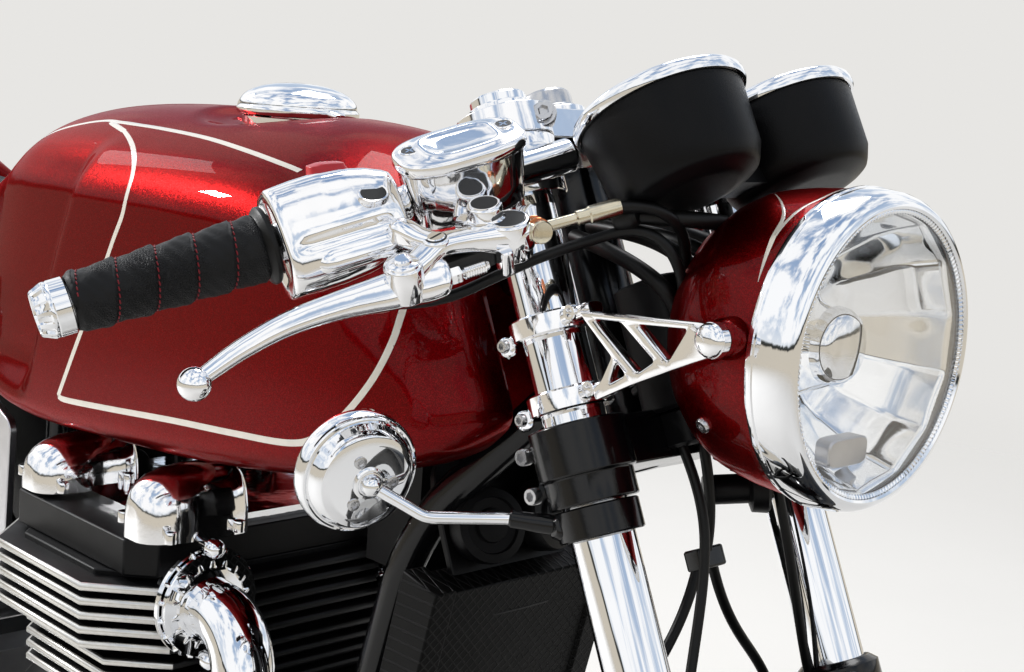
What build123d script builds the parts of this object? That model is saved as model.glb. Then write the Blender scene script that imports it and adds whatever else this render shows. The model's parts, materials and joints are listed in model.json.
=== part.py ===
"""Cafe racer motorcycle. Millimetres, X forward, Y to the rider's left, Z up, floor at Z 0."""
import os
from math import atan2, cos, degrees, pi, radians, sin, tan

from build123d import *

# ---------------------------------------------------------------- driving dimensions
WHEELBASE = 1415
FRONT_X, FRONT_Z = 741, 300
REAR_X, REAR_Z = FRONT_X - WHEELBASE, 318
RAKE = 25
FORK_OFFSET = 48
FORK_HALF = 97.6
TUBE_R = 20.5
STEER_Z = 915
TRAIL = (FRONT_Z * sin(radians(RAKE)) - FORK_OFFSET) / cos(radians(RAKE))
STEER_X = FRONT_X + TRAIL - STEER_Z * tan(radians(RAKE))
AXLE_U = -(STEER_Z - FRONT_Z + FORK_OFFSET * sin(radians(RAKE))) / cos(radians(RAKE))
AXLE_R = 12.5
STEM_R = 15
TAIL_X = -(FRONT_X + FRONT_Z)

# wheels: tyre radius, tyre half width, rim half width, bead radius, hub half width
WHEELS = {"front": (300, 60, 44, 218, 34), "rear": (312, 80, 64, 218, 40)}
SPOKES = 32

LAMP_X, LAMP_Z = 676.5, 825.2
CLOCK_X, CLOCK_Y, CLOCK_Z = 536.3, 57.8, 960.3
CLOCK_TILT = 34.7
STAND_PIVOT = (-205, 168)
SIDE_LUG = Plane(origin=(-20, 104, 140), x_dir=(1, 0, 0), z_dir=(0, 0.877, 0.481))
SIDE_LEG = 140
SWING_PIVOT = (-168, 330)
CAP_X, CAP_Z = 92, 918.5
CAP_HINGE = (CAP_X - 60, CAP_Z + 13)

# steering frame: local x ahead of the steering axis, y left, z up the axis
STEER = Plane(
    origin=(STEER_X, 0, STEER_Z),
    x_dir=(cos(radians(RAKE)), 0, sin(radians(RAKE))),
    z_dir=(-sin(radians(RAKE)), 0, cos(radians(RAKE))),
)
BOTTOM = (Align.CENTER, Align.CENTER, Align.MIN)


def fork(v, y, u):
    """World point of a place in the steering frame."""
    return STEER.from_local_coords(Vector(v, y, u))


def bar(a, b, radius):
    """Round bar from point a to point b."""
    start, end = Vector(*a), Vector(*b)
    with BuildPart() as made:
        with BuildSketch(Plane(origin=start, z_dir=end - start)):
            Circle(radius)
        extrude(amount=(end - start).length)
    return made.part


def tube(points, bends, radius):
    """Round tube along straight runs joined by arcs."""
    with BuildPart() as made:
        with BuildLine() as route:
            FilletPolyline(*points, radius=bends)
        with BuildSketch(Plane(origin=route.line @ 0, z_dir=route.line % 0)):
            Circle(radius)
        sweep()
    return made.part


def turned(plane, profile):
    """Solid turned about the local z axis of a plane from (radius, height) corners."""
    with BuildPart() as made:
        with BuildSketch(Plane(origin=plane.origin, x_dir=plane.x_dir, z_dir=-plane.y_dir)):
            with BuildLine():
                Polyline(*profile, close=True)
            make_face()
        revolve(axis=Axis(plane.origin, plane.z_dir))
    return made.part


def slab(points, y_low, y_high, corner=0.0):
    """Plate cut from an outline of (x, z) points, between two values of y."""
    with BuildPart() as made:
        with BuildSketch(Plane(origin=(0, y_high, 0), x_dir=(1, 0, 0), z_dir=(0, -1, 0))) as face:
            with BuildLine():
                Polyline(*points, close=True)
            make_face()
            if corner:
                fillet(face.vertices(), corner)
        extrude(amount=y_high - y_low)
    return made.part


def section(x, half, low, shoulder, crown, tilt, r_top, r_low):
    """Body section across the bike: flat floor, upright sides, arched top, leaning back by tilt."""
    lean = Plane(
        origin=(x, 0, low), x_dir=(0, 1, 0), z_dir=(cos(radians(tilt)), 0, -sin(radians(tilt)))
    )
    with BuildSketch(lean) as face:
        with BuildLine():
            Polyline((-half, shoulder - low), (-half, 0), (half, 0), (half, shoulder - low))
            ThreePointArc((half, shoulder - low), (0, crown - low), (-half, shoulder - low))
        make_face()
        fillet(face.vertices().sort_by(Axis.Y)[-2:], r_top)
        fillet(face.vertices().sort_by(Axis.Y)[:2], r_low)
    return face.sketch


def wheel_plane(x, z):
    """Plane whose local x runs along the axle and local y out along the radius."""
    return Plane(origin=(x, 0, z), x_dir=(0, 1, 0), z_dir=(1, 0, 0))


pieces = {}

# ================================================================ wheels
for end, (x, z) in {"front": (FRONT_X, FRONT_Z), "rear": (REAR_X, REAR_Z)}.items():
    tyre_r, tyre_half, rim_half, bead, hub_half = WHEELS[end]
    spin = Axis((x, 0, z), (0, 1, 0))
    wires = []
    for number in range(SPOKES):
        side = 1 if number % 2 else -1
        lead = 1 if number % 4 < 2 else -1
        a_rim = 2 * pi * number / SPOKES
        a_hub = a_rim + lead * radians(62)
        r_hub = 27 if end == "front" else 36
        y_hub = side * (hub_half - 3 + 2.4 * lead)
        wires.append(
            bar(
                (x + r_hub * cos(a_hub), y_hub, z + r_hub * sin(a_hub)),
                (x + (bead - 13) * cos(a_rim), side * 9, z + (bead - 13) * sin(a_rim)),
                1.9,
            )
        )
    with BuildPart() as rim:
        with BuildSketch(wheel_plane(x, z)):
            with BuildLine():
                Polyline(
                    (rim_half + 2.5, bead + 14), (rim_half, bead + 14), (rim_half - 2, bead + 1),
                    (rim_half - 14, bead - 3), (rim_half - 26, bead - 12), (26 - rim_half, bead - 12),
                    (14 - rim_half, bead - 3), (2 - rim_half, bead + 1), (-rim_half, bead + 14),
                    (-rim_half - 2.5, bead + 14), (-rim_half - 2.5, bead - 4), (12 - rim_half, bead - 10),
                    (24 - rim_half, bead - 17), (rim_half - 24, bead - 17), (rim_half - 12, bead - 10),
                    (rim_half + 2.5, bead - 4), close=True,
                )
            make_face()
        revolve(axis=spin)
    hub_r = 22 if end == "front" else 30
    flange = hub_r + (10 if end == "front" else 12)
    with BuildPart() as hub:
        with BuildSketch(wheel_plane(x, z)):
            with BuildLine():
                Polyline(
                    (-hub_half - 18, AXLE_R + 0.05), (-hub_half - 18, hub_r), (-hub_half - 4, hub_r),
                    (-hub_half - 4, flange), (-hub_half + 4, flange), (-hub_half + 8, hub_r),
                    (hub_half - 8, hub_r), (hub_half - 4, flange), (hub_half + 4, flange),
                    (hub_half + 4, hub_r), (hub_half + 18, hub_r), (hub_half + 18, AXLE_R + 0.05),
                    close=True,
                )
            make_face()
        revolve(axis=spin)
    with BuildPart() as wheel:
        add(rim.part)
        add(hub.part)
        add(wires)
    pieces[end + "_rim"] = wheel.part
    with BuildPart() as tyre:
        with BuildSketch(wheel_plane(x, z)):
            with BuildLine():
                shoulder_r = bead + 0.55 * (tyre_r - bead)
                Polyline((rim_half + 4, bead + 17), (rim_half - 1.5, bead + 15), (rim_half - 3.4, bead + 1.4),
                         (3.4 - rim_half, bead + 1.4), (1.5 - rim_half, bead + 15), (-rim_half - 4, bead + 17))
                ThreePointArc((-rim_half - 4, bead + 17), (1.5 - tyre_half, shoulder_r - 12),
                              (-tyre_half, shoulder_r + 4))
                ThreePointArc((-tyre_half, shoulder_r + 4), (-0.56 * tyre_half, tyre_r - 0.17 * tyre_half),
                              (0, tyre_r))
                ThreePointArc((0, tyre_r), (0.56 * tyre_half, tyre_r - 0.17 * tyre_half),
                              (tyre_half, shoulder_r + 4))
                ThreePointArc((tyre_half, shoulder_r + 4), (tyre_half - 1.5, shoulder_r - 12),
                              (rim_half + 4, bead + 17))
            make_face()
        revolve(axis=spin)
    pieces[end + "_tyre"] = tyre.part


def brake_disc(x, z, y_low, y_high, outer, carrier_y, carrier_r):
    """Brake disc with its carrier stepping in to the hub."""
    with BuildPart() as made:
        with BuildSketch(Plane(origin=(x, y_high, z), x_dir=(1, 0, 0), z_dir=(0, -1, 0))):
            Circle(outer)
            Circle(outer - 34, mode=Mode.SUBTRACT)
        extrude(amount=y_high - y_low)
        low, high = min(carrier_y, y_low), max(carrier_y, y_high)
        with BuildSketch(Plane(origin=(x, y_high, z), x_dir=(1, 0, 0), z_dir=(0, -1, 0))):
            Circle(carrier_r + 12)
            Circle(carrier_r, mode=Mode.SUBTRACT)
            with PolarLocations((outer + carrier_r) / 2 - 12, 8):
                Rectangle(outer - carrier_r - 20, 13)
        extrude(amount=y_high - y_low)
        with BuildSketch(Plane(origin=(x, high, z), x_dir=(1, 0, 0), z_dir=(0, -1, 0))):
            Circle(carrier_r + 6)
            Circle(carrier_r, mode=Mode.SUBTRACT)
        extrude(amount=high - low)
    return made.part


left_disc = brake_disc(FRONT_X, FRONT_Z, 57.5, 62.5, 155, 38.3, 33)
with BuildPart() as front_discs:
    add(left_disc)
    mirror(about=Plane.XZ)
pieces["front_discs"] = front_discs.part
pieces["rear_disc"] = brake_disc(REAR_X, REAR_Z, -84, -79, 110, -44.3, 31)
with BuildPart() as sprocket:
    with BuildSketch(Plane(origin=(REAR_X, 101, REAR_Z), x_dir=(1, 0, 0), z_dir=(0, -1, 0))):
        Circle(105)
        with PolarLocations(62, 6):
            Circle(15, mode=Mode.SUBTRACT)
        Circle(30.5, mode=Mode.SUBTRACT)
    extrude(amount=7)
    with BuildSketch(Plane(origin=(REAR_X, 95, REAR_Z), x_dir=(1, 0, 0), z_dir=(0, -1, 0))):
        Circle(42)
        Circle(30.5, mode=Mode.SUBTRACT)
    extrude(amount=50.6)
pieces["sprocket"] = sprocket.part

# ================================================================ frame
rails = [
    tube([(412, 20, 862), (300, 46, 812), (-172, 66, 652)], [60], 14),
    tube([(458, 18, 778), (335, 56, 640), (262, 74, 330), (222, 85, 145), (-150, 85, 145),
          (-172, 71, 330), (-172, 66, 652)], [200, 300, 60, 50, 300], 14),
    tube([(-172, 68, 648), (-690, 92, 728), (-800, 62, 740)], [80], 11),
    bar((-172, 74, 420), (-480, 88, 692), 10),
    bar((-485, 84, 700), (-485, 172, 700), 9),
    bar((-168, 58, 330), (-168, 86, 330), 23),
]
with BuildPart() as frame:
    with Locations(STEER):
        with Locations((0, 0, -186)):
            Cylinder(29, 172, align=BOTTOM)
    add(rails)
    mirror(about=Plane.XZ)
    for cross_x, cross_z, cross_r in [(-172, 652, 14), (-150, 145, 14), (222, 150, 13), (-700, 729, 10),
                                      (-800, 740, 10), (-485, 700, 9)]:
        with Locations(Location((cross_x, 0, cross_z), (90, 0, 0))):
            Cylinder(cross_r, 122 if cross_x == -800 else 172)
    with Locations(Location((STAND_PIVOT[0] + 25, 71, STAND_PIVOT[1] + 4)),
                   Location((STAND_PIVOT[0] + 25, -71, STAND_PIVOT[1] + 4))):
        Box(78, 9, 40)
    with Locations(SIDE_LUG):
        Cylinder(17, 12)
    with Locations(STEER):
        with Locations((0, 0, -190)):
            Cylinder(STEM_R + 0.06, 210, align=BOTTOM, mode=Mode.SUBTRACT)
    with Locations(Location((STAND_PIVOT[0], 0, STAND_PIVOT[1]), (90, 0, 0))):
        Cylinder(8.06, 300, mode=Mode.SUBTRACT)
    with Locations(SIDE_LUG):
        Cylinder(6.06, 30, mode=Mode.SUBTRACT)
    with Locations(Location((SWING_PIVOT[0], 0, SWING_PIVOT[1]), (90, 0, 0))):
        Cylinder(9.05, 300, mode=Mode.SUBTRACT)
pieces["frame"] = frame.part

# ================================================================ engine
with BuildPart() as crankcase:
    add(slab([(-140, 250), (-105, 178), (150, 178), (200, 240), (200, 340), (160, 430), (-90, 430),
              (-140, 385)], -118, 118, 18))
    with Locations((-86, 101, 330)):
        Box(128, 38, 136, mode=Mode.SUBTRACT)
pieces["crankcase"] = crankcase.part

covers = []
for side, discs, reach in [(-1, [(-38, 312, 100), (98, 300, 66)], 60), (1, [(104, 302, 82)], 56),
                           (1, [(-86, 330, 49)], 34)]:
    start = side * 118.3
    with BuildPart() as cover:
        with BuildSketch(Plane(origin=(0, start, 0), x_dir=(1, 0, 0), z_dir=(0, side, 0))):
            for cx, cz, cr in discs:
                with Locations((cx, -side * cz)):
                    Circle(cr)
            if len(discs) > 1:
                make_hull()
        extrude(amount=reach)
        fillet(cover.faces().sort_by(Axis.Y)[0 if side < 0 else -1].edges(), 16)
    covers.append(cover.part)
with BuildPart() as engine_covers:
    add(covers)
pieces["engine_covers"] = engine_covers.part


def fin_outline(front, back, half, cut):
    """Chamfered rectangle across the engine, seen from above."""
    return [(front, -half + cut), (front, half - cut), (front - cut, half), (back + cut, half),
            (back, half - cut), (back, -half + cut), (back + cut, -half), (front - cut, -half)]


# fins: height of the underside, front, back, half width, corner cut
FINS = [(442 + 12 * n, 132, -78, 168, 40) for n in range(4)]
FINS += [(497 + 12 * n, 142, -108, 190, 52) for n in range(5)]
with BuildPart() as cylinders:
    for low, high, front, back, half, cut in [(430.3, 492, 112, -60, 150, 34), (492, 556, 122, -88, 170, 46),
                                              (556, 586, 124, -92, 160, 20)]:
        with BuildSketch(Plane.XY.offset(low)):
            with BuildLine():
                Polyline(*fin_outline(front, back, half, cut), close=True)
            make_face()
        extrude(amount=high - low)
    for low, front, back, half, cut in FINS:
        with BuildSketch(Plane.XY.offset(low)):
            with BuildLine():
                Polyline(*fin_outline(front, back, half, cut), close=True)
            make_face()
        extrude(amount=4.2)
    with Locations(Location((142.5, 112, 539), (0, 90, 0)), Location((142.5, -112, 539), (0, 90, 0))):
        Cylinder(36, 41, mode=Mode.SUBTRACT)
pieces["cylinders"] = cylinders.part

# along the bike, height: exhaust camshaft, inlet camshaft
CAM_HOUSINGS = [(118, 59), (-52, 49)]
with BuildPart() as cam_covers:
    with Locations((16, 0, 590.5)):
        Box(196, 250, 8)
    for cx, tall in CAM_HOUSINGS:
        for cy in (-116, 116):
            with Locations((cx, cy, 587)):
                Box(62, 92, tall, align=BOTTOM)
    fillet([edge for edge in cam_covers.edges().filter_by(Axis.Y) if edge.center().Z > 620], 20)
pieces["cam_covers"] = cam_covers.part

lean = degrees(atan2(73, 310))
with BuildPart() as radiator:
    with Locations(Location((356, 0, 488), (0, lean, 0))):
        Box(32, 150, 262)
        with Locations((0, 85, 0), (0, -85, 0)):
            Box(38, 20, 270)
        with Locations((-27, 60, 90), (-27, -60, 90)):
            Box(28, 16, 24)
pieces["radiator"] = radiator.part

HEADER_R = 25
header = tube([(125, -112, 539), (214, -114, 534), (226, -140, 330), (216, -144, 182), (-196, -146, 182)],
              [46, 200, 52], HEADER_R)
with BuildPart() as exhaust_headers:
    add(header)
    for ring_x, ring_r in [(145.4, 40), (151, 46), (157, 43)]:
        with Locations(Location((ring_x, -112, 539), (0, 90, 0))):
            Cylinder(ring_r, 4)
    with Locations(Location((140, -112, 539), (0, 90, 0))):
        Cylinder(30, 36)
    mirror(about=Plane.XZ)
pieces["exhaust_headers"] = exhaust_headers.part

silencer_dir = Vector(-470, -44, 58)
silencer = turned(
    Plane(origin=(-200.6, -146.4, 182.4), z_dir=silencer_dir),
    [(0, 0), (26, 0), (31, 30), (46, 120), (49, 300), (47, 410), (36, 462), (30, 470), (26, 470),
     (26, 430), (0, 430)],
)
with BuildPart() as silencers:
    add(silencer)
    mirror(about=Plane.XZ)
pieces["silencers"] = silencers.part

with BuildPart() as airbox:
    with Locations((-268, 0, 548)):
        Box(156, 116, 196)
    fillet(airbox.edges().filter_by(Axis.Z), 20)
    for throat in (-27, 27):
        with Locations(Location((-151.5, throat, 576), (0, 90, 0))):
            Cylinder(23, 85)
pieces["airbox"] = airbox.part

with BuildPart() as coil_pack:
    with Locations((286, 0, 640)):
        Box(60, 70, 96)
    with Locations((286, 0, 746)):
        Box(20, 5, 122)
    with Locations(Location((286, 0, 806), (90, 0, 0))):
        Cylinder(6, 65)
pieces["coil_pack"] = coil_pack.part

# ================================================================ tank, seat, tail
# x, half width, floor, shoulder, crown, lean, top corner, floor corner
TANK = [
    (440, 84, 742, 842, 862, -25, 34, 20),
    (410, 122, 716, 858, 892, -22, 46, 34),
    (340, 142, 688, 872, 912, -12, 52, 30),
    (200, 153, 666, 878, 929, 0, 58, 24),
    (40, 154, 653, 876, 931, 0, 62, 20),
    (-100, 147, 643, 868, 925, 0, 60, 20),
    (-200, 136, 650, 858, 911, 6, 52, 22),
    (-284, 114, 678, 828, 876, 12, 46, 20),
]
tank_faces = [section(*row) for row in TANK]
with BuildPart() as tank_body:
    add(tank_faces)
    loft()
tunnel = slab([(480, 600), (480, 886), (300, 858), (-200, 700), (-330, 694), (-330, 600)], -86, 86)
notch = slab([(480, 640), (480, 960), (318, 960), (330, 640)], -50, 50)
with BuildPart() as fuel_tank:
    add(tank_body.part)
    add(tunnel, mode=Mode.SUBTRACT)
    add(notch, mode=Mode.SUBTRACT)
    with Locations((CAP_X, 0, CAP_Z)):
        Cylinder(40, 60, mode=Mode.SUBTRACT)
    with Locations((CAP_X, 0, CAP_Z - 1)):
        Cylinder(46.3, 40, align=BOTTOM, mode=Mode.SUBTRACT)
    with Locations((CAP_X, 0, CAP_Z + 2.5)):
        Cylinder(55, 40, align=BOTTOM, mode=Mode.SUBTRACT)
    with Locations((CAP_X - 58, 0, CAP_Z + 1), (CAP_X + 50, 0, CAP_Z + 2.5)):
        Box(30, 44, 40, align=BOTTOM, mode=Mode.SUBTRACT)
pieces["fuel_tank"] = fuel_tank.part

with BuildPart() as filler_base:
    with Locations((CAP_X, 0, CAP_Z - 26)):
        Cylinder(39.7, 33, align=BOTTOM)
    with Locations((CAP_X, 0, CAP_Z - 1)):
        Cylinder(46, 8, align=BOTTOM)
    with Locations((CAP_X - 46, 0, CAP_Z + 2.75)):
        Box(12, 18, 3.5)
    with Locations((CAP_HINGE[0] + 2, 0, CAP_Z + 7)):
        Box(16, 18, 12)
    with Locations(Location((CAP_HINGE[0], 0, CAP_HINGE[1]), (90, 0, 0))):
        Cylinder(6, 18)
        Cylinder(2.06, 18, mode=Mode.SUBTRACT)
pieces["filler_base"] = filler_base.part

SEAT = [(-292, 84, 700, 752, 786, 0, 22, 8), (-370, 108, 706, 768, 800, 0, 28, 8),
        (-480, 120, 724, 782, 810, 0, 30, 8), (-592, 114, 738, 796, 822, 0, 28, 8)]
TAIL = [(-595, 115, 740, 800, 848, 0, 30, 10), (-680, 108, 745, 820, 876, 0, 34, 10),
        (-800, 82, 753, 808, 856, 0, 28, 10), (-900, 46, 768, 798, 816, 0, 12, 8)]
seat_faces = [section(*row) for row in SEAT]
with BuildPart() as seat:
    add(seat_faces)
    loft()
pieces["seat"] = seat.part
tail_faces = [section(*row) for row in TAIL]
with BuildPart() as tail_cowl:
    add(tail_faces)
    loft()
pieces["tail_cowl"] = tail_cowl.part

with BuildPart() as side_covers:
    add(slab([(-186, 616), (-196, 470), (-250, 452), (-430, 640), (-440, 690), (-300, 662)], 104, 112, 14))
    mirror(about=Plane.XZ)
pieces["side_covers"] = side_covers.part

with BuildPart() as tail_lamp:
    with Locations(Location((-915, 0, 788), (0, 90, 0))):
        Cylinder(28, 28)
    fillet(tail_lamp.faces().sort_by(Axis.X)[0].edges(), 8)
pieces["tail_lamp"] = tail_lamp.part

stay = tube([(-792, 0, 718), (-880, 0, 690), (-1020, 0, 566)], [60], 11)
with BuildPart() as plate_bracket:
    add(stay)
    with Locations((TAIL_X + 2, 0, 540)):
        Box(4, 190, 120)
    with Locations((TAIL_X + 12, 0, 560)):
        Box(22, 60, 40)
    for hole_y in (-60, 60):
        with Locations(Location((TAIL_X, hole_y, 540), (0, 90, 0))):
            Cylinder(3.25, 20, mode=Mode.SUBTRACT)
pieces["plate_bracket"] = plate_bracket.part

# ================================================================ rear suspension and drive
arm = slab([(-150, 350), (-150, 310), (-190, 302), (-640, 292), (-706, 296), (-712, 318), (-706, 340),
            (-640, 346), (-190, 358)], 110, 138, 8)
with BuildPart() as swingarm:
    add(arm)
    with Locations(Location((SWING_PIVOT[0], 121, SWING_PIVOT[1]), (90, 0, 0))):
        Cylinder(26, 34)
    with Locations(Location((-628, 154, 346), (90, 0, 0))):
        Cylinder(9, 36)
    mirror(about=Plane.XZ)
    with Locations((-318, 0, 326)):
        Box(44, 222, 34)
    with Locations(Location((SWING_PIVOT[0], 0, SWING_PIVOT[1]), (90, 0, 0))):
        Cylinder(9, 290)
    with Locations(Location((REAR_X, 0, REAR_Z), (90, 0, 0))):
        Cylinder(AXLE_R + 0.1, 300, mode=Mode.SUBTRACT)
pieces["swingarm"] = swingarm.part

with BuildPart() as rear_axle:
    with Locations(Location((REAR_X, 0, REAR_Z), (90, 0, 0))):
        Cylinder(AXLE_R, 296)
        with Locations((0, 0, 143.5), (0, 0, -143.5)):
            Cylinder(18, 9)
        Cylinder(8, 310, mode=Mode.SUBTRACT)
pieces["rear_axle"] = rear_axle.part

shock_top, shock_foot = Vector(-485, 158, 700), Vector(-628, 158, 346)
shock_len = (shock_foot - shock_top).length
coils = [(14, 0), (14, 30), (27, 34), (27, 62)]
turns = 9
coil_top, coil_foot = 66, shock_len - 96
for n in range(turns):
    step = (coil_foot - coil_top) / turns
    coils += [(20, coil_top + step * n), (26, coil_top + step * (n + 0.25)), (26, coil_top + step * (n + 0.6)),
              (20, coil_top + step * (n + 0.85))]
coils += [(27, coil_foot + 2), (27, coil_foot + 12), (21, coil_foot + 16), (21, shock_len - 26),
          (12, shock_len - 20), (12, shock_len), (0, shock_len)]
shock = turned(Plane(origin=shock_top, z_dir=shock_foot - shock_top), [(0, 0)] + coils)
with BuildPart() as shocks:
    add(shock)
    for eye in (shock_top, shock_foot):
        with Locations(Location(eye, (90, 0, 0))):
            Cylinder(19, 26)
    for eye in (shock_top, shock_foot):
        with Locations(Location(eye, (90, 0, 0))):
            Cylinder(9.1, 40, mode=Mode.SUBTRACT)
    mirror(about=Plane.XZ)
pieces["shocks"] = shocks.part

belts = []
for grow in (14, 0):
    with BuildPart() as belt:
        with BuildSketch(Plane(origin=(0, 105, 0), x_dir=(1, 0, 0), z_dir=(0, -1, 0))):
            with Locations((REAR_X, REAR_Z)):
                Circle(108 + grow)
            with Locations((-86, 330)):
                Circle(40 + grow)
            make_hull()
        extrude(amount=14)
    belts.append(belt.part)
with BuildPart() as chain:
    add(belts[0])
    add(belts[1], mode=Mode.SUBTRACT)
pieces["chain"] = chain.part

with BuildPart() as rear_caliper:
    with Locations((REAR_X + 60, -88, 246)):
        Box(92, 52, 54)
    fillet(rear_caliper.edges().filter_by(Axis.Y), 14)
    with Locations(Location((REAR_X, -81.5, REAR_Z), (90, 0, 0))):
        Cylinder(115, 16, mode=Mode.SUBTRACT)
    with Locations((REAR_X + 60, -118, 272)):
        Box(40, 16, 34)
pieces["rear_caliper"] = rear_caliper.part

with BuildPart() as rearsets:
    add(slab([(-156, 452), (-190, 456), (-214, 420), (-318, 350), (-306, 318), (-196, 300), (-168, 380)], 144, 152, 10))
    add(bar((-172, 84, 438), (-172, 146, 438), 9))
    add(bar((-296, 150, 336), (-296, 236, 336), 11))
    add(tube([(-262, 152, 330), (-180, 188, 325), (-128, 190, 322), (-128, 222, 322)], [20, 8], 6))
    mirror(about=Plane.XZ)
pieces["rearsets"] = rearsets.part

# ================================================================ steering head and fork
yoke_rows = {
    "lower_yoke": [(-223, 32, 30, 31), (-241, 18, 0, 28.5)],
    "top_yoke": [(-8, 20, 27, 30), (12, 22, 26, 0)],
}
for name, rows in yoke_rows.items():
    with BuildPart() as yoke:
        for low, height, stem_r, clamp_r in rows:
            with BuildSketch(STEER.offset(low)):
                if clamp_r:
                    with Locations((FORK_OFFSET, FORK_HALF), (FORK_OFFSET, -FORK_HALF)):
                        Circle(clamp_r)
                if stem_r:
                    Circle(stem_r)
                if stem_r and clamp_r:
                    with Locations((FORK_OFFSET * 0.5, 0)):
                        Rectangle(FORK_OFFSET + 16, 118)
                    with Locations((FORK_OFFSET, 0)):
                        Rectangle(38, 2 * FORK_HALF)
            extrude(amount=height)
        with Locations(STEER):
            with Locations((FORK_OFFSET, FORK_HALF, -300), (FORK_OFFSET, -FORK_HALF, -300)):
                Cylinder(TUBE_R + 0.05, 400, align=BOTTOM, mode=Mode.SUBTRACT)
            with Locations((0, 0, -300)):
                Cylinder(STEM_R + 0.05, 400, align=BOTTOM, mode=Mode.SUBTRACT)
    pieces[name] = yoke.part

with BuildPart() as steering_stem:
    with Locations(STEER):
        with Locations((0, 0, -222)):
            Cylinder(STEM_R, 258, align=BOTTOM)
        with Locations((0, 0, 34.2)):
            Cylinder(21, 3, align=BOTTOM)
        with Locations((0, 0, 37)):
            Cylinder(18.5, 14, align=BOTTOM)
pieces["steering_stem"] = steering_stem.part

fork_tube = turned(
    Plane(origin=fork(FORK_OFFSET, -FORK_HALF, 0), x_dir=STEER.x_dir, z_dir=STEER.z_dir),
    [(0, -448), (TUBE_R, -448), (TUBE_R, 18), (18, 19), (18, 24), (9, 24), (9, 27), (0, 27)],
)
with BuildPart() as fork_tubes:
    add(fork_tube)
    mirror(about=Plane.XZ)
pieces["fork_tubes"] = fork_tubes.part

slider = turned(
    Plane(origin=fork(FORK_OFFSET, -FORK_HALF, 0), x_dir=STEER.x_dir, z_dir=STEER.z_dir),
    [(TUBE_R + 0.1, -450), (TUBE_R + 0.1, -381), (24, -379), (29, -383), (29, -394), (28, -396), (28, -430),
     (30, -436), (30, -640), (26, -672), (24, AXLE_U - 14), (0, AXLE_U - 20), (0, -450)],
)
with BuildPart() as fork_sliders:
    add(slider)
    with Locations(Location((FRONT_X, -FORK_HALF, FRONT_Z), (90, 0, 0))):
        Cylinder(26, 54)
    add(slab([(FRONT_X - 20, 360), (FRONT_X - 62, 322), (FRONT_X - 92, 352), (FRONT_X - 100, 384),
              (FRONT_X - 60, 430)], -100, -88, 8))
    with Locations(Location((FRONT_X, -FORK_HALF, FRONT_Z), (90, 0, 0))):
        Cylinder(AXLE_R + 0.05, 80, mode=Mode.SUBTRACT)
    mirror(about=Plane.XZ)
pieces["fork_sliders"] = fork_sliders.part

with BuildPart() as front_axle:
    with Locations(Location((FRONT_X, 0, FRONT_Z), (90, 0, 0))):
        Cylinder(AXLE_R, 256)
        with Locations((0, 0, 128), (0, 0, -128)):
            Cylinder(17, 6)
        Cylinder(8, 280, mode=Mode.SUBTRACT)
pieces["front_axle"] = front_axle.part

caliper_at = (FRONT_X - 122, FRONT_Z + 54)
with BuildPart() as front_calipers:
    with Locations(Location((caliper_at[0], -64, caliper_at[1]), (0, 66, 0))):
        Box(104, 48, 46)
    fillet(front_calipers.edges().filter_by(Axis.Y), 12)
    with Locations(Location((FRONT_X, -60, FRONT_Z), (90, 0, 0))):
        Cylinder(160.5, 15, mode=Mode.SUBTRACT)
    mirror(about=Plane.XZ)
pieces["front_calipers"] = front_calipers.part

with BuildPart() as front_mudguard:
    guard_start = Plane(
        origin=(FRONT_X, 0, FRONT_Z), x_dir=(0, 1, 0), z_dir=(sin(radians(60)), 0, -cos(radians(60)))
    )
    with BuildSketch(guard_start):
        with BuildLine():
            Polyline((-66, 292), (-66, 306))
            ThreePointArc((-66, 306), (0, 324), (66, 306))
            Polyline((66, 306), (66, 292), (63.5, 292), (63.5, 304.5))
            ThreePointArc((63.5, 304.5), (0, 321), (-63.5, 304.5))
            Polyline((-63.5, 304.5), (-63.5, 292), (-66, 292))
        make_face()
    revolve(axis=Axis((FRONT_X, 0, FRONT_Z), (0, -1, 0)), revolution_arc=104)
    for side in (-1, 1):
        add(slab([(FRONT_X - 93, 488), (FRONT_X - 66, 500), (FRONT_X - 96, 604), (FRONT_X - 158, 576)],
                 *sorted((side * 64.5, side * 67.5)), 6))
pieces["front_mudguard"] = front_mudguard.part

# ================================================================ bars and controls
# bar axis in the steering frame, inner end to outer end
BAR_IN, BAR_OUT = (86.4, -97, -30.5), (-51, -380, -73.4)
BAR_R = 11


def along(y):
    """World point on the right bar's axis at a given y."""
    t = (y - BAR_IN[1]) / (BAR_OUT[1] - BAR_IN[1])
    return fork(*(a + t * (b - a) for a, b in zip(BAR_IN, BAR_OUT)))


outward = (along(-380) - along(-97)).normalized()


def bar_plane(y):
    """Plane square to the right bar, local x ahead, local y up, z outward."""
    return Plane(origin=along(y), x_dir=STEER.x_dir, z_dir=outward)


def sleeve(y_in, y_out, outer, inner):
    """Ring round the right bar between two values of y."""
    length = (along(y_out) - along(y_in)).length
    with BuildPart() as made:
        with BuildSketch(bar_plane(y_in)):
            Circle(outer)
            Circle(inner, mode=Mode.SUBTRACT)
        extrude(amount=length)
    return made.part


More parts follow.
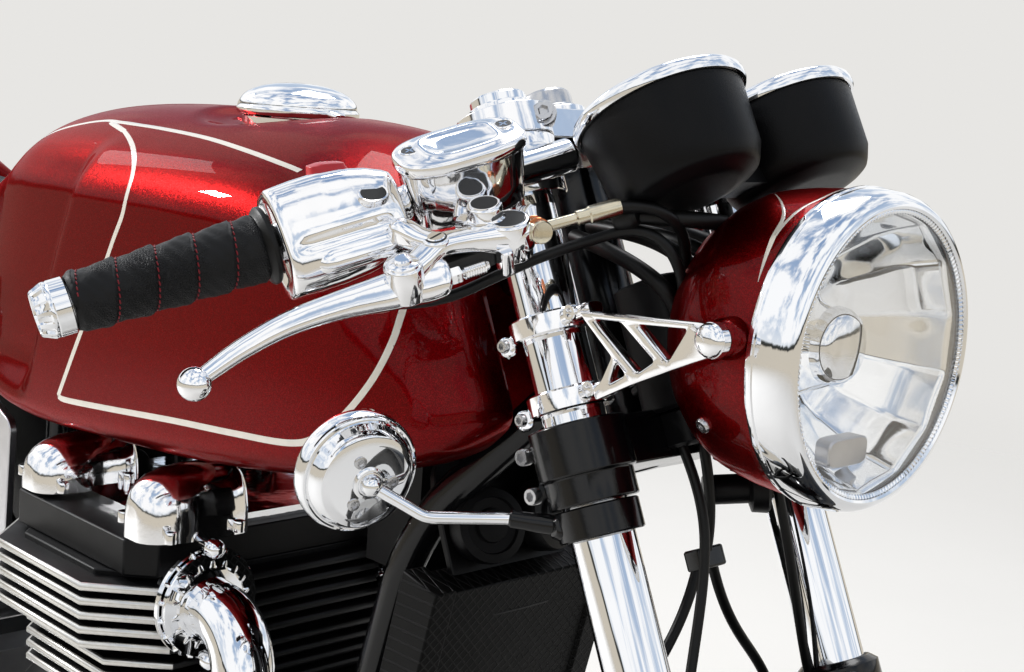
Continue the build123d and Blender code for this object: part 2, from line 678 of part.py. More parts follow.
bar_gap = bar(along(-97), along(-300), BAR_R + 0.05)
clip_bar = bar(along(-97), along(-370), BAR_R)
bar_weight = sleeve(-370.2, -387.5, 16.5, 9)
bar_core = bar(along(-366), along(-384), 9.2)
riser = bar(fork(FORK_OFFSET, -FORK_HALF, -28), fork(82, -106, -31), 14)
with BuildPart() as clip_ons:
    with Locations(STEER):
        with Locations((FORK_OFFSET, -FORK_HALF, -47)):
            Cylinder(30, 38.6, align=BOTTOM)
    add(riser)
    with Locations(STEER):
        with Locations((FORK_OFFSET, -FORK_HALF, -60)):
            Cylinder(TUBE_R + 0.05, 100, align=BOTTOM, mode=Mode.SUBTRACT)
    add(clip_bar)
    add(bar_weight)
    add(bar_core)
    mirror(about=Plane.XZ)
pieces["clip_ons"] = clip_ons.part

with BuildPart() as grips:
    add(sleeve(-270.5, -369.6, 18.5, BAR_R + 0.05))
    add(sleeve(-266, -270.6, 23.5, BAR_R + 0.05))
    mirror(about=Plane.XZ)
pieces["grips"] = grips.part

with BuildPart() as switch_housings:
    with BuildSketch(bar_plane(-196)):
        RectangleRounded(52, 58, 20)
    extrude(amount=75)
    add(bar_gap, mode=Mode.SUBTRACT)
    mirror(about=Plane.XZ)
pieces["switch_housings"] = switch_housings.part

# reservoir: lid centre in the steering frame, local x along the bar, z up out of the lid
LID = Plane(origin=fork(84, -175, -20), x_dir=(-0.337, -0.887, -0.315), z_dir=(0.177, -0.389, 0.904))
barrel = bar(fork(94, -134, -67), fork(72, -186, -76), 12)
perch_arm = bar(fork(74, -184, -70), fork(72, -204, -70), 5.5)
perch_lug = bar(fork(72, -204, -64), fork(72, -204, -75.6), 12)
banjo = bar(fork(97, -128, -66), fork(97, -128, -86), 7.5)
perch_clamp = sleeve(-150, -172, 17, BAR_R + 0.05)
perch_neck = bar(along(-161) + (fork(80, -158, -56) - along(-161)) * 0.42, fork(80, -158, -56), 10)
with BuildPart() as brake_master:
    with BuildSketch(LID):
        RectangleRounded(81, 46, 19)
    extrude(amount=-8)
    with BuildSketch(LID.offset(-8)):
        RectangleRounded(74, 40, 17)
    extrude(amount=-30)
    add(barrel)
    add(perch_arm)
    add(perch_lug)
    add(banjo)
    add(perch_clamp)
    add(perch_neck)
    add(bar_gap, mode=Mode.SUBTRACT)
pieces["brake_master"] = brake_master.part

clutch_barrel = bar(fork(80, -150, -60), fork(72, -186, -74), 10)
with BuildPart() as clutch_perch:
    add(clutch_barrel)
    add(perch_arm)
    add(perch_lug)
    add(perch_clamp)
    add(perch_neck)
    add(bar_gap, mode=Mode.SUBTRACT)
with BuildPart() as clutch_mount:
    add(mirror(clutch_perch.part, about=Plane.XZ))
pieces["clutch_perch"] = clutch_mount.part

lever_blade = tube(
    [fork(72, -204, -86), fork(66, -224, -92), fork(38, -280, -106), fork(12, -327, -129), fork(8, -334, -133)],
    [12, 60, 40], 6.8,
)
with BuildPart() as levers:
    add(lever_blade)
    with Locations(Location(fork(7, -336, -134))):
        Sphere(9.5)
    add(bar(fork(72, -204, -76.2), fork(72, -204, -95), 12))
    mirror(about=Plane.XZ)
pieces["levers"] = levers.part

# ================================================================ clocks and headlamp
tilt = radians(CLOCK_TILT)
pods, bezels = [], []
for side in (-1, 1):
    face_plane = Plane(
        origin=(CLOCK_X, side * CLOCK_Y, CLOCK_Z), x_dir=(cos(tilt), 0, sin(tilt)), z_dir=(-sin(tilt), 0, cos(tilt))
    )
    pods.append(turned(face_plane, [(0, -62), (30, -62), (41, -58), (48.5, -46), (52.8, -7), (52.8, -2.2),
                                    (0, -2.2)]))
    bezels.append(turned(face_plane, [(48, 1), (52, 3.4), (55.6, 1), (56.2, -3), (55.4, -6.2), (53.3, -6.2),
                                      (53.1, -2), (48, -2)]))
with BuildPart() as clocks:
    add(pods)
    with Locations(STEER):
        with Locations((140, 0, -62)):
            Box(30, 60, 16)
        with Locations((108, 0, -54)):
            Box(80, 34, 7)
        with Locations((70.8, 0, -24)):
            Box(7, 34, 60)
pieces["clocks"] = clocks.part
with BuildPart() as clock_bezels:
    add(bezels)
pieces["clock_bezels"] = clock_bezels.part

LAMP = Plane(origin=(LAMP_X, 0, LAMP_Z), x_dir=(0, 1, 0), z_dir=(1, 0, 0))
LAMP_SIDE = Plane(origin=(LAMP_X, 0, LAMP_Z), x_dir=(0, 1, 0), z_dir=(0, 0, -1))
LAMP_AXIS = Axis((LAMP_X, 0, LAMP_Z), (1, 0, 0))
BOLT = fork(179, 0, -172)
with BuildPart() as headlamp_shell:
    with BuildSketch(LAMP_SIDE):
        with BuildLine():
            ThreePointArc((95, -26), (94.2, -50), (89.88, -77.84))
            ThreePointArc((89.88, -77.84), (56, -116.85), (0, -134))
            Polyline((0, -134), (0, -26), (95, -26))
        make_face()
    revolve(axis=LAMP_AXIS)
    for side in (-1, 1):
        with Locations(Location((BOLT.X, side * 54, BOLT.Z), (90, 0, 0))):
            Cylinder(10, 107.8)
    with BuildSketch(LAMP_SIDE):
        with BuildLine():
            ThreePointArc((92, -20), (91.2, -50), (87.18, -76.52))
            ThreePointArc((87.18, -76.52), (54, -114.58), (0, -131))
            Polyline((0, -131), (0, -20), (92, -20))
        make_face()
    revolve(axis=LAMP_AXIS, mode=Mode.SUBTRACT)
    with Locations(Location((LAMP_X - 130, 0, LAMP_Z), (0, 90, 0))):
        Cylinder(16, 40, mode=Mode.SUBTRACT)
pieces["headlamp_shell"] = headlamp_shell.part

RIM = [(95.4, -28), (97, -26.5), (97.2, -10), (95.6, -3), (92, 1.5), (88.5, 3), (86.8, 1.5), (86.8, -2), (90, -6),
       (92.3, -14), (92.3, -25.6), (95.4, -25.6)]
LENS = [(0, 6.5), (40, 5.4), (70, 2.8), (86.6, -0.6), (86.6, -5), (70, -1.4), (40, 1.2), (0, 2.2)]
DISH = [(86, -6.5), (84, -14), (74, -36), (58, -56), (36, -74), (18, -80), (0, -81), (0, -84), (19, -83), (37.5, -77),
        (60, -58.5), (76.5, -38), (86.6, -15), (88.5, -6.5)]
for name, profile in {"headlamp_rim": RIM, "headlamp_lens": LENS, "headlamp_reflector": DISH}.items():
    pieces[name] = turned(LAMP, profile)

# bracket outline and windows as (v, u) corners in the steering frame
OUTLINE = [(91, -130), (104, -132), (176, -160), (187, -166), (190, -174), (184, -181), (168, -180), (145, -183),
           (118, -188), (99, -192), (87, -188), (86, -181), (106, -176), (100, -158), (90, -140)]
WINDOWS = [[(100, -138), (119, -144), (136, -175), (124, -176)], [(131, -150), (166, -163), (163, -174), (145, -175)]]
with BuildPart() as lamp_brackets:
    with BuildSketch(Plane(origin=fork(0, -108, 0), x_dir=STEER.x_dir, z_dir=(0, -1, 0))):
        with BuildLine():
            Polyline(*OUTLINE, close=True)
        make_face()
        for window in WINDOWS:
            with BuildLine(mode=Mode.PRIVATE) as edge:
                Polyline(*window, close=True)
            add(make_face(edge.edges(), mode=Mode.PRIVATE), mode=Mode.SUBTRACT)
        with Locations((107, -172)):
            Circle(4.6, mode=Mode.SUBTRACT)
    extrude(amount=6)
    with Locations(STEER):
        for u in (-128, -176):
            with Locations((FORK_OFFSET, -FORK_HALF, u)):
                Cylinder(27, 14)
            with Locations((82, -105.5, u)):
                Box(34, 17, 9)
        with Locations((FORK_OFFSET, -FORK_HALF, -155)):
            Cylinder(TUBE_R + 0.05, 90, mode=Mode.SUBTRACT)
    add(bar((BOLT.X, -113.9, BOLT.Z), (BOLT.X, -119, BOLT.Z), 9.5))
    mirror(about=Plane.XZ)
pieces["lamp_brackets"] = lamp_brackets.part

# ================================================================ mirrors and hoses
mirror_face = Plane(origin=(456, -205, 726), z_dir=(0.87, -0.12, -0.47))
mirror_head = turned(mirror_face, [(0, 7), (14, 6.6), (30, 4), (40, 0), (44, -4), (44.4, -10), (42.6, -12.5), (0, -12.5)])
mirror_stem = tube([fork(33, -115.5, -252), fork(26, -124, -249), (493, -182, 706), (459, -205, 724.5)], [6, 12], 4)
with BuildPart() as mirrors:
    with Locations(STEER):
        with Locations((FORK_OFFSET, -FORK_HALF, -262)):
            Cylinder(27, 20, align=BOTTOM)
            Cylinder(TUBE_R + 0.05, 60, mode=Mode.SUBTRACT)
    add(mirror_stem)
    add(mirror_head)
    mirror(about=Plane.XZ)
pieces["mirrors"] = mirrors.part

hoses = [
    tube([fork(103.5, -123, -77), fork(128, -108, -84), fork(148, -68, -104), fork(98, -40, -117), fork(73, -18, -160),
          fork(73, -12, -248), fork(44, -2, -286)], [14, 14, 20, 24, 24], 3.6),
    tube([fork(40, 6, -290), fork(22, 24, -338), fork(6, 72, -366), fork(4, 86, -420), fork(-20, 84, -500),
          fork(-37, 80, -546)], [20, 20, 30, 30], 3.6),
    tube([fork(40, -6, -290), fork(22, -24, -338), fork(6, -72, -366), fork(4, -86, -420), fork(-20, -84, -500),
          fork(-37, -80, -546)], [20, 20, 30, 30], 3.6),
]
with BuildPart() as brake_hoses:
    with Locations(STEER):
        with Locations((40, 0, -290)):
            Box(16, 26, 14)
    add(hoses)
pieces["brake_hoses"] = brake_hoses.part

# ================================================================ stands and fuel cap
stand_leg = tube([(STAND_PIVOT[0], 88, STAND_PIVOT[1]), (STAND_PIVOT[0] + 4, 92, 120), (-178, 112, 8)], [60], 12)
with BuildPart() as centre_stand:
    add(stand_leg)
    with Locations(Location((STAND_PIVOT[0], 88.5, STAND_PIVOT[1]), (90, 0, 0))):
        Cylinder(16, 16)
    with Locations(Location((STAND_PIVOT[0], 80, STAND_PIVOT[1]), (90, 0, 0))):
        Cylinder(8, 36)
    with Locations((-178, 113, 4)):
        Box(62, 32, 8)
    mirror(about=Plane.XZ)
    with Locations(Location((-194, 0, 84), (90, 0, 0))):
        Cylinder(10, 196)
    with Locations((-178, 0, -20)):
        Box(400, 400, 40, mode=Mode.SUBTRACT)
pieces["centre_stand"] = centre_stand.part

hub_at = SIDE_LUG.offset(18).origin
leg_end = hub_at + Vector(-SIDE_LEG, 0, 0)
stand_bar = bar(hub_at, leg_end, 9)
with BuildPart() as side_stand:
    with Locations(SIDE_LUG):
        with Locations((0, 0, 18)):
            Cylinder(14, 14)
        with Locations((0, 0, 3)):
            Cylinder(6, 20)
    add(stand_bar)
    with Locations(leg_end):
        Box(26, 20, 16)
pieces["side_stand"] = side_stand.part

with BuildPart() as fuel_cap:
    add(turned(Plane(origin=(CAP_X, 0, CAP_Z)), [(0, 8), (48, 8), (49.5, 12), (47, 20), (38, 27), (20, 31.5), (0, 32.5)]))
    with Locations((CAP_X + 47, 0, CAP_Z + 12)):
        Box(22, 16, 7)
    for side in (-1, 1):
        with Locations((CAP_HINGE[0] + 12, side * 13, CAP_HINGE[1] + 1)):
            Box(24, 6, 6)
        with Locations(Location((CAP_HINGE[0], side * 13, CAP_HINGE[1]), (90, 0, 0))):
            Cylinder(6, 6)
    with Locations(Location((CAP_HINGE[0], 0, CAP_HINGE[1]), (90, 0, 0))):
        Cylinder(2, 32)
pieces["fuel_cap"] = fuel_cap.part

# ================================================================ hand out the pieces
os.makedirs("parts", exist_ok=True)
for name, piece in pieces.items():
    piece.label = name
    export_step(piece, "parts/" + name + ".step")
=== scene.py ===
"""Cafe racer motorcycle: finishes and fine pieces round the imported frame.

Metres, X forward, Y to the rider's left, Z up.
"""
import json
from math import asin, atan2, copysign, cos, pi, radians, sin, sqrt, tan

import bmesh
import bpy
from mathutils import Matrix, Vector
from mathutils.bvhtree import BVHTree

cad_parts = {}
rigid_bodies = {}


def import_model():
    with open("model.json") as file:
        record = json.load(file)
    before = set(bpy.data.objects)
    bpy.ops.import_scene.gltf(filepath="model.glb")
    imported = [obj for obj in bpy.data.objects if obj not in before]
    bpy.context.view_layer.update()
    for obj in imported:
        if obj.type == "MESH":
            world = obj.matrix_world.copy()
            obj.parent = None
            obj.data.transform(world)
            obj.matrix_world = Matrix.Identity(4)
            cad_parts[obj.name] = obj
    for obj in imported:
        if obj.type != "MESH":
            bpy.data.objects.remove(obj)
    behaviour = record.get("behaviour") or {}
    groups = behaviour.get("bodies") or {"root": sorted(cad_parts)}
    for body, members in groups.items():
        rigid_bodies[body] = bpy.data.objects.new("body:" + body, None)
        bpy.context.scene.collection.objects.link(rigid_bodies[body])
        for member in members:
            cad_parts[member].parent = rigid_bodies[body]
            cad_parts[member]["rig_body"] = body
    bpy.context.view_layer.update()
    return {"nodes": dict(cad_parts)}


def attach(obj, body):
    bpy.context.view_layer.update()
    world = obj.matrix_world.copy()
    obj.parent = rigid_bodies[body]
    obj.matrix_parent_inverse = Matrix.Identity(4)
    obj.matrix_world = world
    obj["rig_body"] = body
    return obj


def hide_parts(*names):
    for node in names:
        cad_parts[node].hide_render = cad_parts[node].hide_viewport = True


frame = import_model()

# Frame tubes
# The real frame is welded steel tube under a thick gloss black powder coat.
# The stands, the lower yoke and the fork sliders wear the same coat.
MM = 0.001


class Wire:
    """A shader socket that adds, scales and compares as a number does."""

    def __init__(self, tree, socket=None):
        self.tree, self.socket = tree, socket

    def node(self, kind, *links, out=0, stops=(), named=None, **settings):
        """Adds a node of that kind with its settings, stops and links, and gives one of its outputs."""
        made = self.tree.nodes.new("ShaderNode" + kind)
        for key, value in settings.items():
            setattr(made, key, value)
        for number, (place, tint) in enumerate(stops):
            band = made.color_ramp.elements
            stop = band[number] if number < 2 else band.new(place)
            stop.position, stop.color = place, (*tint, 1)
        for key, value in [*enumerate(links), *(named or {}).items()]:
            if isinstance(value, Wire):
                self.tree.links.new(value.socket, made.inputs[key])
            elif value is not None:
                made.inputs[key].default_value = value
        return Wire(self.tree, made.outputs[out])

    def maths(self, operation, *values):
        return self.node("Math", *values, operation=operation)

    def __add__(self, other):
        return self.maths("ADD", self, other)

    def __sub__(self, other):
        return self.maths("SUBTRACT", self, other)

    def __rsub__(self, other):
        return self.maths("SUBTRACT", other, self)

    def __mul__(self, other):
        return self.maths("MULTIPLY", self, other)

    __radd__, __rmul__ = __add__, __mul__

    def most(self, other):
        return self.maths("MAXIMUM", self, other)

    def least(self, other):
        return self.maths("MINIMUM", self, other)

    def wave(self, pitch):
        """A triangle wave from 0 to 1 of this length."""
        return self.maths("PINGPONG", self, pitch / 2) * (2 / pitch)

    def step(self, low, high):
        """0 below low, 1 above high, with a soft edge between them."""
        return self.node("MapRange", self, low, high, 0.0, 1.0, interpolation_type="SMOOTHSTEP")

    def mix(self, first, second):
        """The first colour where this is 0, the second where it is 1."""
        first, second = [(*c, 1) if isinstance(c, tuple) and len(c) == 3 else c for c in (first, second)]
        return self.node("Mix", data_type="RGBA", out=2, named={0: self, 6: first, 7: second})

    def noise(self, scale, detail=3.0, rough=0.5):
        return self.node("TexNoise",
            named={"Vector": self, "Scale": scale, "Detail": detail, "Roughness": rough})

    def cells(self, scale, out="Distance", feature="F1"):
        return self.node("TexVoronoi", out=out, named={"Vector": self, "Scale": scale}, feature=feature)

    def part(self, axis):
        return self.node("SeparateXYZ", self, out=axis)

    def bump(self, depth, normal=None):
        return self.node("Bump", named={"Height": self, "Distance": depth, "Normal": normal})

    def to(self, skin, name):
        self.tree.links.new(self.socket, skin.inputs[name])
        return self


def finish(name, slot, colour, rough, metal=0.0, mottle=0.04, tint=0.08, grain=60.0, bumps=(), **more):
    """Material whose colour and gloss wander a little, as paint, plating and castings do.

    Gives the material, its Principled node, and a socket for places on the object.
    """
    made = bpy.data.materials.new(name)
    made.use_nodes = True
    made["slot"] = slot
    skin = made.node_tree.nodes["Principled BSDF"]
    skin.inputs["Metallic"].default_value = metal
    for key, value in more.items():
        skin.inputs[key.replace("_", " ").title().replace("Ior", "IOR")].default_value = value
    place = Wire(made.node_tree).node("TexCoord", out="Object")
    cloud = place.noise(grain, 4.0)
    ((cloud - 0.5) * 2 * mottle + rough).to(skin, "Roughness")
    cloud.step(0.3, 0.7).mix(colour, tuple(c * (1 - tint) for c in colour)).to(skin, "Base Color")
    normal = None
    for scale, depth in bumps:
        normal = place.noise(scale, 2.0).bump(depth, normal)
    if normal:
        normal.to(skin, "Normal")
    return made, skin, place


def both_sides(bm):
    """Adds the left half as a mirror image of the right."""
    made = bmesh.ops.duplicate(bm, geom=bm.verts[:] + bm.edges[:] + bm.faces[:])["geom"]
    for v in made:
        if isinstance(v, bmesh.types.BMVert):
            v.co.y = -v.co.y
    bmesh.ops.reverse_faces(bm, faces=[f for f in made if isinstance(f, bmesh.types.BMFace)])


def piece(name, bm, look, body, *stands_for, crease=32, edge=0.0, both=False):
    """Makes an object of a bmesh or, with both, of it and its mirror image, riding on a body."""
    if both:
        both_sides(bm)
    bmesh.ops.remove_doubles(bm, verts=bm.verts, dist=2e-6)
    bmesh.ops.recalc_face_normals(bm, faces=bm.faces)
    mesh = bpy.data.meshes.new(name)
    bm.to_mesh(mesh)
    bm.free()
    mesh.shade_smooth()
    mesh.set_sharp_from_angle(angle=radians(crease))
    made = bpy.data.objects.new(name, mesh)
    bpy.context.collection.objects.link(made)
    looks = look if isinstance(look, list) else [look]
    for each in looks:
        mesh.materials.append(each)
    if edge:
        bevel = made.modifiers.new("rounded_edges", "BEVEL")
        bevel.width, bevel.segments = edge * MM, 2
        bevel.limit_method, bevel.angle_limit = "ANGLE", radians(crease)
    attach(made, body)
    if stands_for:
        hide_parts(*stands_for)
    return made


def softened(look, *names, edge=0.6, crease=30):
    """Copies of CAD nodes, merged, with their edges rounded as on a casting, a weld or a forging."""
    for name in names:
        source = frame["nodes"][name]
        bm = bmesh.new()
        bm.from_mesh(source.data)
        bmesh.ops.remove_doubles(bm, verts=bm.verts, dist=2e-6)
        bmesh.ops.dissolve_limit(bm, angle_limit=radians(0.6), verts=bm.verts, edges=bm.edges)
        piece(name + "_finished", bm, look, source["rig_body"], name, edge=edge, crease=crease)


black_coat, _, _ = finish("gloss_black_coat", "frame_black", (0.003, 0.003, 0.0035), 0.16, grain=35.0,
    bumps=[(420.0, 0.00004)], specular_ior_level=0.35)
softened(black_coat, "frame", "centre_stand", "side_stand", "plate_bracket")
softened(black_coat, "lower_yoke", "fork_sliders", "rear_caliper", edge=1.5)
softened(black_coat, "front_mudguard", edge=0)

# Engine
# An upright twin: black cast barrels and head whose fin edges are machined bright along the sides; the rims
# facing ahead and back are left black as painted shade.
# The fins leave room round the exhaust ports, where finned chrome clamp rings hold the pipes.


def at(origin, up, ahead=(1, 0, 0)):
    """Place with its z axis along up and its x axis towards ahead, from a point in metres."""
    z = Vector(up).normalized()
    x = Vector(ahead) - z * z.dot(Vector(ahead))
    if x.length < 0.01:
        x = Vector((0, 1, 0)) - z * z.y
    x.normalize()
    made = Matrix((x, z.cross(x), z)).transposed().to_4x4()
    made.translation = Vector(origin)
    return made


def mm(*place):
    """Vector in metres from mm."""
    return Vector(place) * MM


def shifted(place, x, y, z):
    """The same place, moved along its own axes by mm."""
    return place @ Matrix.Translation(mm(x, y, z))


def lofted(bm, rings, ends=True, closed=True):
    """Skin through rings of equally many points: the first is drawn, the others are extruded from it."""
    row = [bm.verts.new(point) for point in rings[0]]
    edges = [bm.edges.new(pair) for pair in zip(row, row[1:] + row[:closed])]
    if ends:
        bm.faces.new(row)
    for ring in rings[1:]:
        made = bmesh.ops.extrude_edge_only(bm, edges=edges)["geom"]
        fresh = {v for v in made if isinstance(v, bmesh.types.BMVert)}
        row = [next(e.other_vert(v) for e in v.link_edges if e.other_vert(v) in fresh) for v in row]
        for vert, point in zip(row, ring):
            vert.co = point
        edges = [bm.edges.get(pair) for pair in zip(row, row[1:] + row[:closed])]
    if ends:
        bm.faces.new(row)


def turned(bm, place, profile, steps=64, closed=False):
    """Spins a profile of (radius, height) in mm round a place's z axis."""
    line = [bm.verts.new(place @ mm(r, 0, h)) for r, h in profile]
    edges = [bm.edges.new(pair) for pair in zip(line, line[1:] + (line[:1] if closed else []))]
    bmesh.ops.spin(bm, geom=line + edges, cent=place.translation, axis=place.col[2].xyz, angle=2 * pi,
        steps=steps, use_merge=True)


def squared(angle, power):
    """Unit point at an angle on a curve between a circle, power 2, and a square."""
    return [copysign(abs(k) ** (2 / power), k) for k in (cos(angle), sin(angle))]


def oval(place, half_x, half_y, height=0.0, power=2.0, count=40, centre=(0, 0)):
    """Ring of points in mm in a place's plane: power 2 is an ellipse, 4 is nearly a box."""
    ring = []
    for n in range(count):
        x, y = squared(2 * pi * n / count, power)
        ring.append(place @ mm(centre[0] + x * half_x, centre[1] + y * half_y, height))
    return ring


def stack(bm, place, rows, power=2.0, count=40):
    """Skin through ovals of half width, half depth and height in mm."""
    lofted(bm, [oval(place, *row, power, count) for row in rows])


def block(bm, place, half_x, half_y, half_z, inset, rise, power=5, count=40):
    """Box-like form in mm whose ends are drawn in by a slanting rim."""
    stack(bm, place, [(half_x - g, half_y - g, h) for h, g in [(-half_z - rise, inset), (-half_z, 0),
        (half_z, 0), (half_z + rise, inset)]], power, count)


def collar(bm, place, bore, radius, low, high, rise=1.0, steps=72):
    """Ring clamp or bush with its outer edges chamfered."""
    turned(bm, place, [(bore, low), (radius - 1, low), (radius, low + rise), (radius, high - rise),
        (radius - 1, high), (bore, high)], steps, closed=True)


def polar(place, radius_at, height, count):
    """Ring of points in mm round a place's z axis, whose radius follows from the angle."""
    return [place @ mm(radius_at(a) * cos(a), radius_at(a) * sin(a), height) for a in
        [2 * pi * n / count for n in range(count)]]


def screw(bm, place, radius, height, socket=0.52):
    """Socket head screw: a round head with a chamfer and a six-sided hole."""
    rings = [oval(place, r, r, h, 2, 24) for r, h in [(radius, 0), (radius, height * 0.84),
        (radius * 0.9, height)]]
    rings += [polar(place, lambda a: radius * socket / cos(a % (pi / 3) - pi / 6), depth, 24) for depth in
        (height, height * 0.3)]
    lofted(bm, rings)


def bar(bm, start, end, radius, steps=20):
    """Plain round rod between two points in metres."""
    length = (Vector(end) - Vector(start)).length / MM
    turned(bm, at(start, Vector(end) - Vector(start)), [(0, 0), (radius, 0), (radius, length), (0, length)],
        steps)


def fin_outline(low, front, back, half, cut):
    """Outline of a fin or block at one height: a box with its corners cut off."""
    return [mm(x, y, low) for x, y in [(front, -half + cut), (front, half - cut), (front - cut, half),
        (back + cut, half), (back, half - cut), (back, -half + cut), (back + cut, -half),
        (front - cut, -half)]]


engine_black, _, _ = finish("engine_black", "engine_black", (0.004, 0.004, 0.0045), 0.42, grain=90.0,
    bumps=[(900.0, 0.00012)], specular_ior_level=0.2)
alloy, _, _ = finish("polished_alloy", "bright_alloy", (0.9, 0.9, 0.91), 0.07, 1.0, mottle=0.02, tint=0.04,
    grain=24.0, bumps=[(38.0, 0.0005), (130.0, 0.00006)])
satin, _, _ = finish("satin_alloy", "satin_alloy", (0.58, 0.58, 0.6), 0.3, 1.0, mottle=0.06, grain=50.0,
    bumps=[(600.0, 0.00004)])
steel, _, _ = finish("brushed_steel", "steel", (0.56, 0.56, 0.57), 0.24, 1.0, mottle=0.08, grain=70.0,
    bumps=[(700.0, 0.00003)])
chrome, _, _ = finish("chrome", "chrome", (0.86, 0.87, 0.89), 0.03, 1.0, mottle=0.015, tint=0.03, grain=18.0,
    bumps=[(26.0, 0.0001)])
bright_edge, _, _ = finish("machined_fin_edge", "bright_alloy", (0.66, 0.65, 0.62), 0.3, 1.0, grain=200.0,
    bumps=[(300.0, 0.00006)])
plastic, _, _ = finish("black_plastic", "black_plastic", (0.004, 0.004, 0.0045), 0.4, grain=120.0,
    bumps=[(1500.0, 0.00008)], specular_ior_level=0.16)
rubber, _, _ = finish("rubber", "hose", (0.004, 0.004, 0.004), 0.42, grain=80.0, bumps=[(900.0, 0.00008)],
    specular_ior_level=0.25)

# underside, front, back, half width, corner cut, thickness: barrel fins, then the head's larger ones
FINS = [(441.4 + 12 * n, 132, -78, 168, 40, 6.6) for n in range(4)]
FINS += [(496 + 12 * n, 142, -108, 190, 52, 7.0) for n in range(5)]
CORES = [(430.4, 112, -60, 150, 34, 61.6), (492, 122, -88, 170, 46, 64), (556, 124, -92, 160, 20, 30)]
bm = bmesh.new()
for low, front, back, half, cut, thick in CORES:
    lofted(bm, [fin_outline(z, front, back, half, cut) for z in (low, low + thick)])
piece("barrels_and_head", bm, engine_black, "chassis", "cylinders", edge=1.5)
bm = bmesh.new()
for low, front, back, half, cut, thick in FINS:
    rings = [fin_outline(z, front - g, back + g, half - g, cut) for z, g in [(low, 30), (low, 2),
        (low + 1.2, 0), (low + thick - 1.2, 0), (low + thick, 2), (low + thick, 30)]]
    lofted(bm, rings, ends=False)
bmesh.ops.recalc_face_normals(bm, faces=bm.faces)
# only the side-facing rims get the bright edge; the rims facing ahead and back stay black as painted shade
for face in bm.faces:
    face.material_index = 1 if abs(face.normal.y) > 0.2 else 0
piece("cooling_fins", bm, [engine_black, bright_edge], "chassis", crease=60)

softened(engine_black, "crankcase", edge=3)
softened(alloy, "engine_covers", edge=0)

# Exhaust ports: a chrome pipe in a finned clamp ring, with studs and dome nuts.
bm = bmesh.new()
for side in (-1, 1):
    port = at(mm(0, side * 112, 539), (1, 0, 0), (0, 0, 1))
    lofted(bm, [polar(port, lambda a: core + lobe * max(0, cos(a * 18)) ** 0.6, height, 144)
        for height, core, lobe in [(143.4, 34, 4), (147, 36, 9), (150, 36, 10), (154, 36, 10), (158, 34, 8),
        (160, 30, 2)]])
    for lift in (-1, 1):
        nut = at(mm(158, side * 112, 539 + lift * 47), (1, 0, 0), (0, 0, 1))
        turned(bm, nut, [(0, -14), (4, -14), (4, 0), (8, 0), (8, 5), (6.5, 9), (3, 11.5), (0, 12)], 24)
piece("exhaust_clamp_rings", bm, chrome, "chassis", crease=50)
softened(chrome, "exhaust_headers", edge=0)
softened(steel, "silencers", edge=0)

# Cam covers: polished domes over each camshaft end, rounded off like an egg outside and bolted down.
DECK = 590  # height of the head's top
bm = bmesh.new()
for x, top in ((118, 646), (-52, 636)):
    for side in (-1, 1):
        rings = []
        for out, shrink in [(68, 12), (70, 5), (76, 1), (90, 0), (112, 0), (130, 1.5), (143, 5), (152, 10),
                (158, 16), (161.5, 23), (162.6, 28)]:
            half, tall = 31 - shrink * 0.8, top - DECK - shrink
            rings.append([mm(x + half * copysign(abs(cos(a)) ** 0.7, cos(a)), side * out,
                DECK + tall * max(0, sin(a)) ** 0.75) for a in [2 * pi * n / 40 for n in range(40)]])
        lofted(bm, rings)
        for dx, dy in ((-36, 84), (36, 84), (-36, 148), (36, 148)):
            screw(bm, at(mm(x + dx * 0.97, side * dy, 594), (0, 0, 1)), 5, 9)
stack(bm, at(mm(16, 0, 0), (0, 0, 1)), [(98, 125, 586.2), (98, 125, 594.4)], 12, 48)
piece("cam_housings", bm, alloy, "chassis", "cam_covers", crease=48)

# Side covers' screws, and the plugs of the crankcase.
bm = bmesh.new()
for side, reach, cx, cz, ring_r, count in [(-1, 178.3, -38, 312, 90, 7), (-1, 178.3, 98, 300, 56, 5),
        (1, 174.3, 104, 302, 72, 7), (1, 152.3, -86, 330, 40, 4)]:
    for n in range(count):
        a = 2 * pi * (n + 0.5) / count
        # none where the right side's two covers meet
        if side < 0 and abs(cx + ring_r * cos(a) - 35) < 30 and abs(sin(a)) < 0.6:
            continue
        spot = mm(cx + ring_r * cos(a), side * (reach - 1.5), cz + ring_r * sin(a))
        screw(bm, at(spot, (0, side, 0)), 6, 5)
piece("cover_screws", bm, steel, "chassis", crease=40)
softened(plastic, "airbox", edge=4)
softened(plastic, "coil_pack", edge=2)

# Radiator: black core of fine fins behind a diamond mesh, with an alloy tank down each side; its openings are
# painted darker than the strands, partly the core's own black and partly painted shade.
radiator_look, radiator_skin, spot = finish("radiator_mesh", "radiator", (0.003, 0.003, 0.003), 0.5, 0.0,
    specular_ior_level=0.12)
across, rise = spot.part("Y"), spot.part("Z")
lattice = (across + rise).wave(0.009).least((across - rise).wave(0.009)).step(0.05, 0.22)
# openings darker than the strands: the core's black, deepened by painted shade in the mesh's depth
lattice.mix((0.012, 0.012, 0.012), (0.001, 0.001, 0.001)).to(radiator_skin, "Base Color")
(1 - lattice).bump(0.0012).to(radiator_skin, "Normal")
softened(radiator_look, "radiator", edge=1.5)

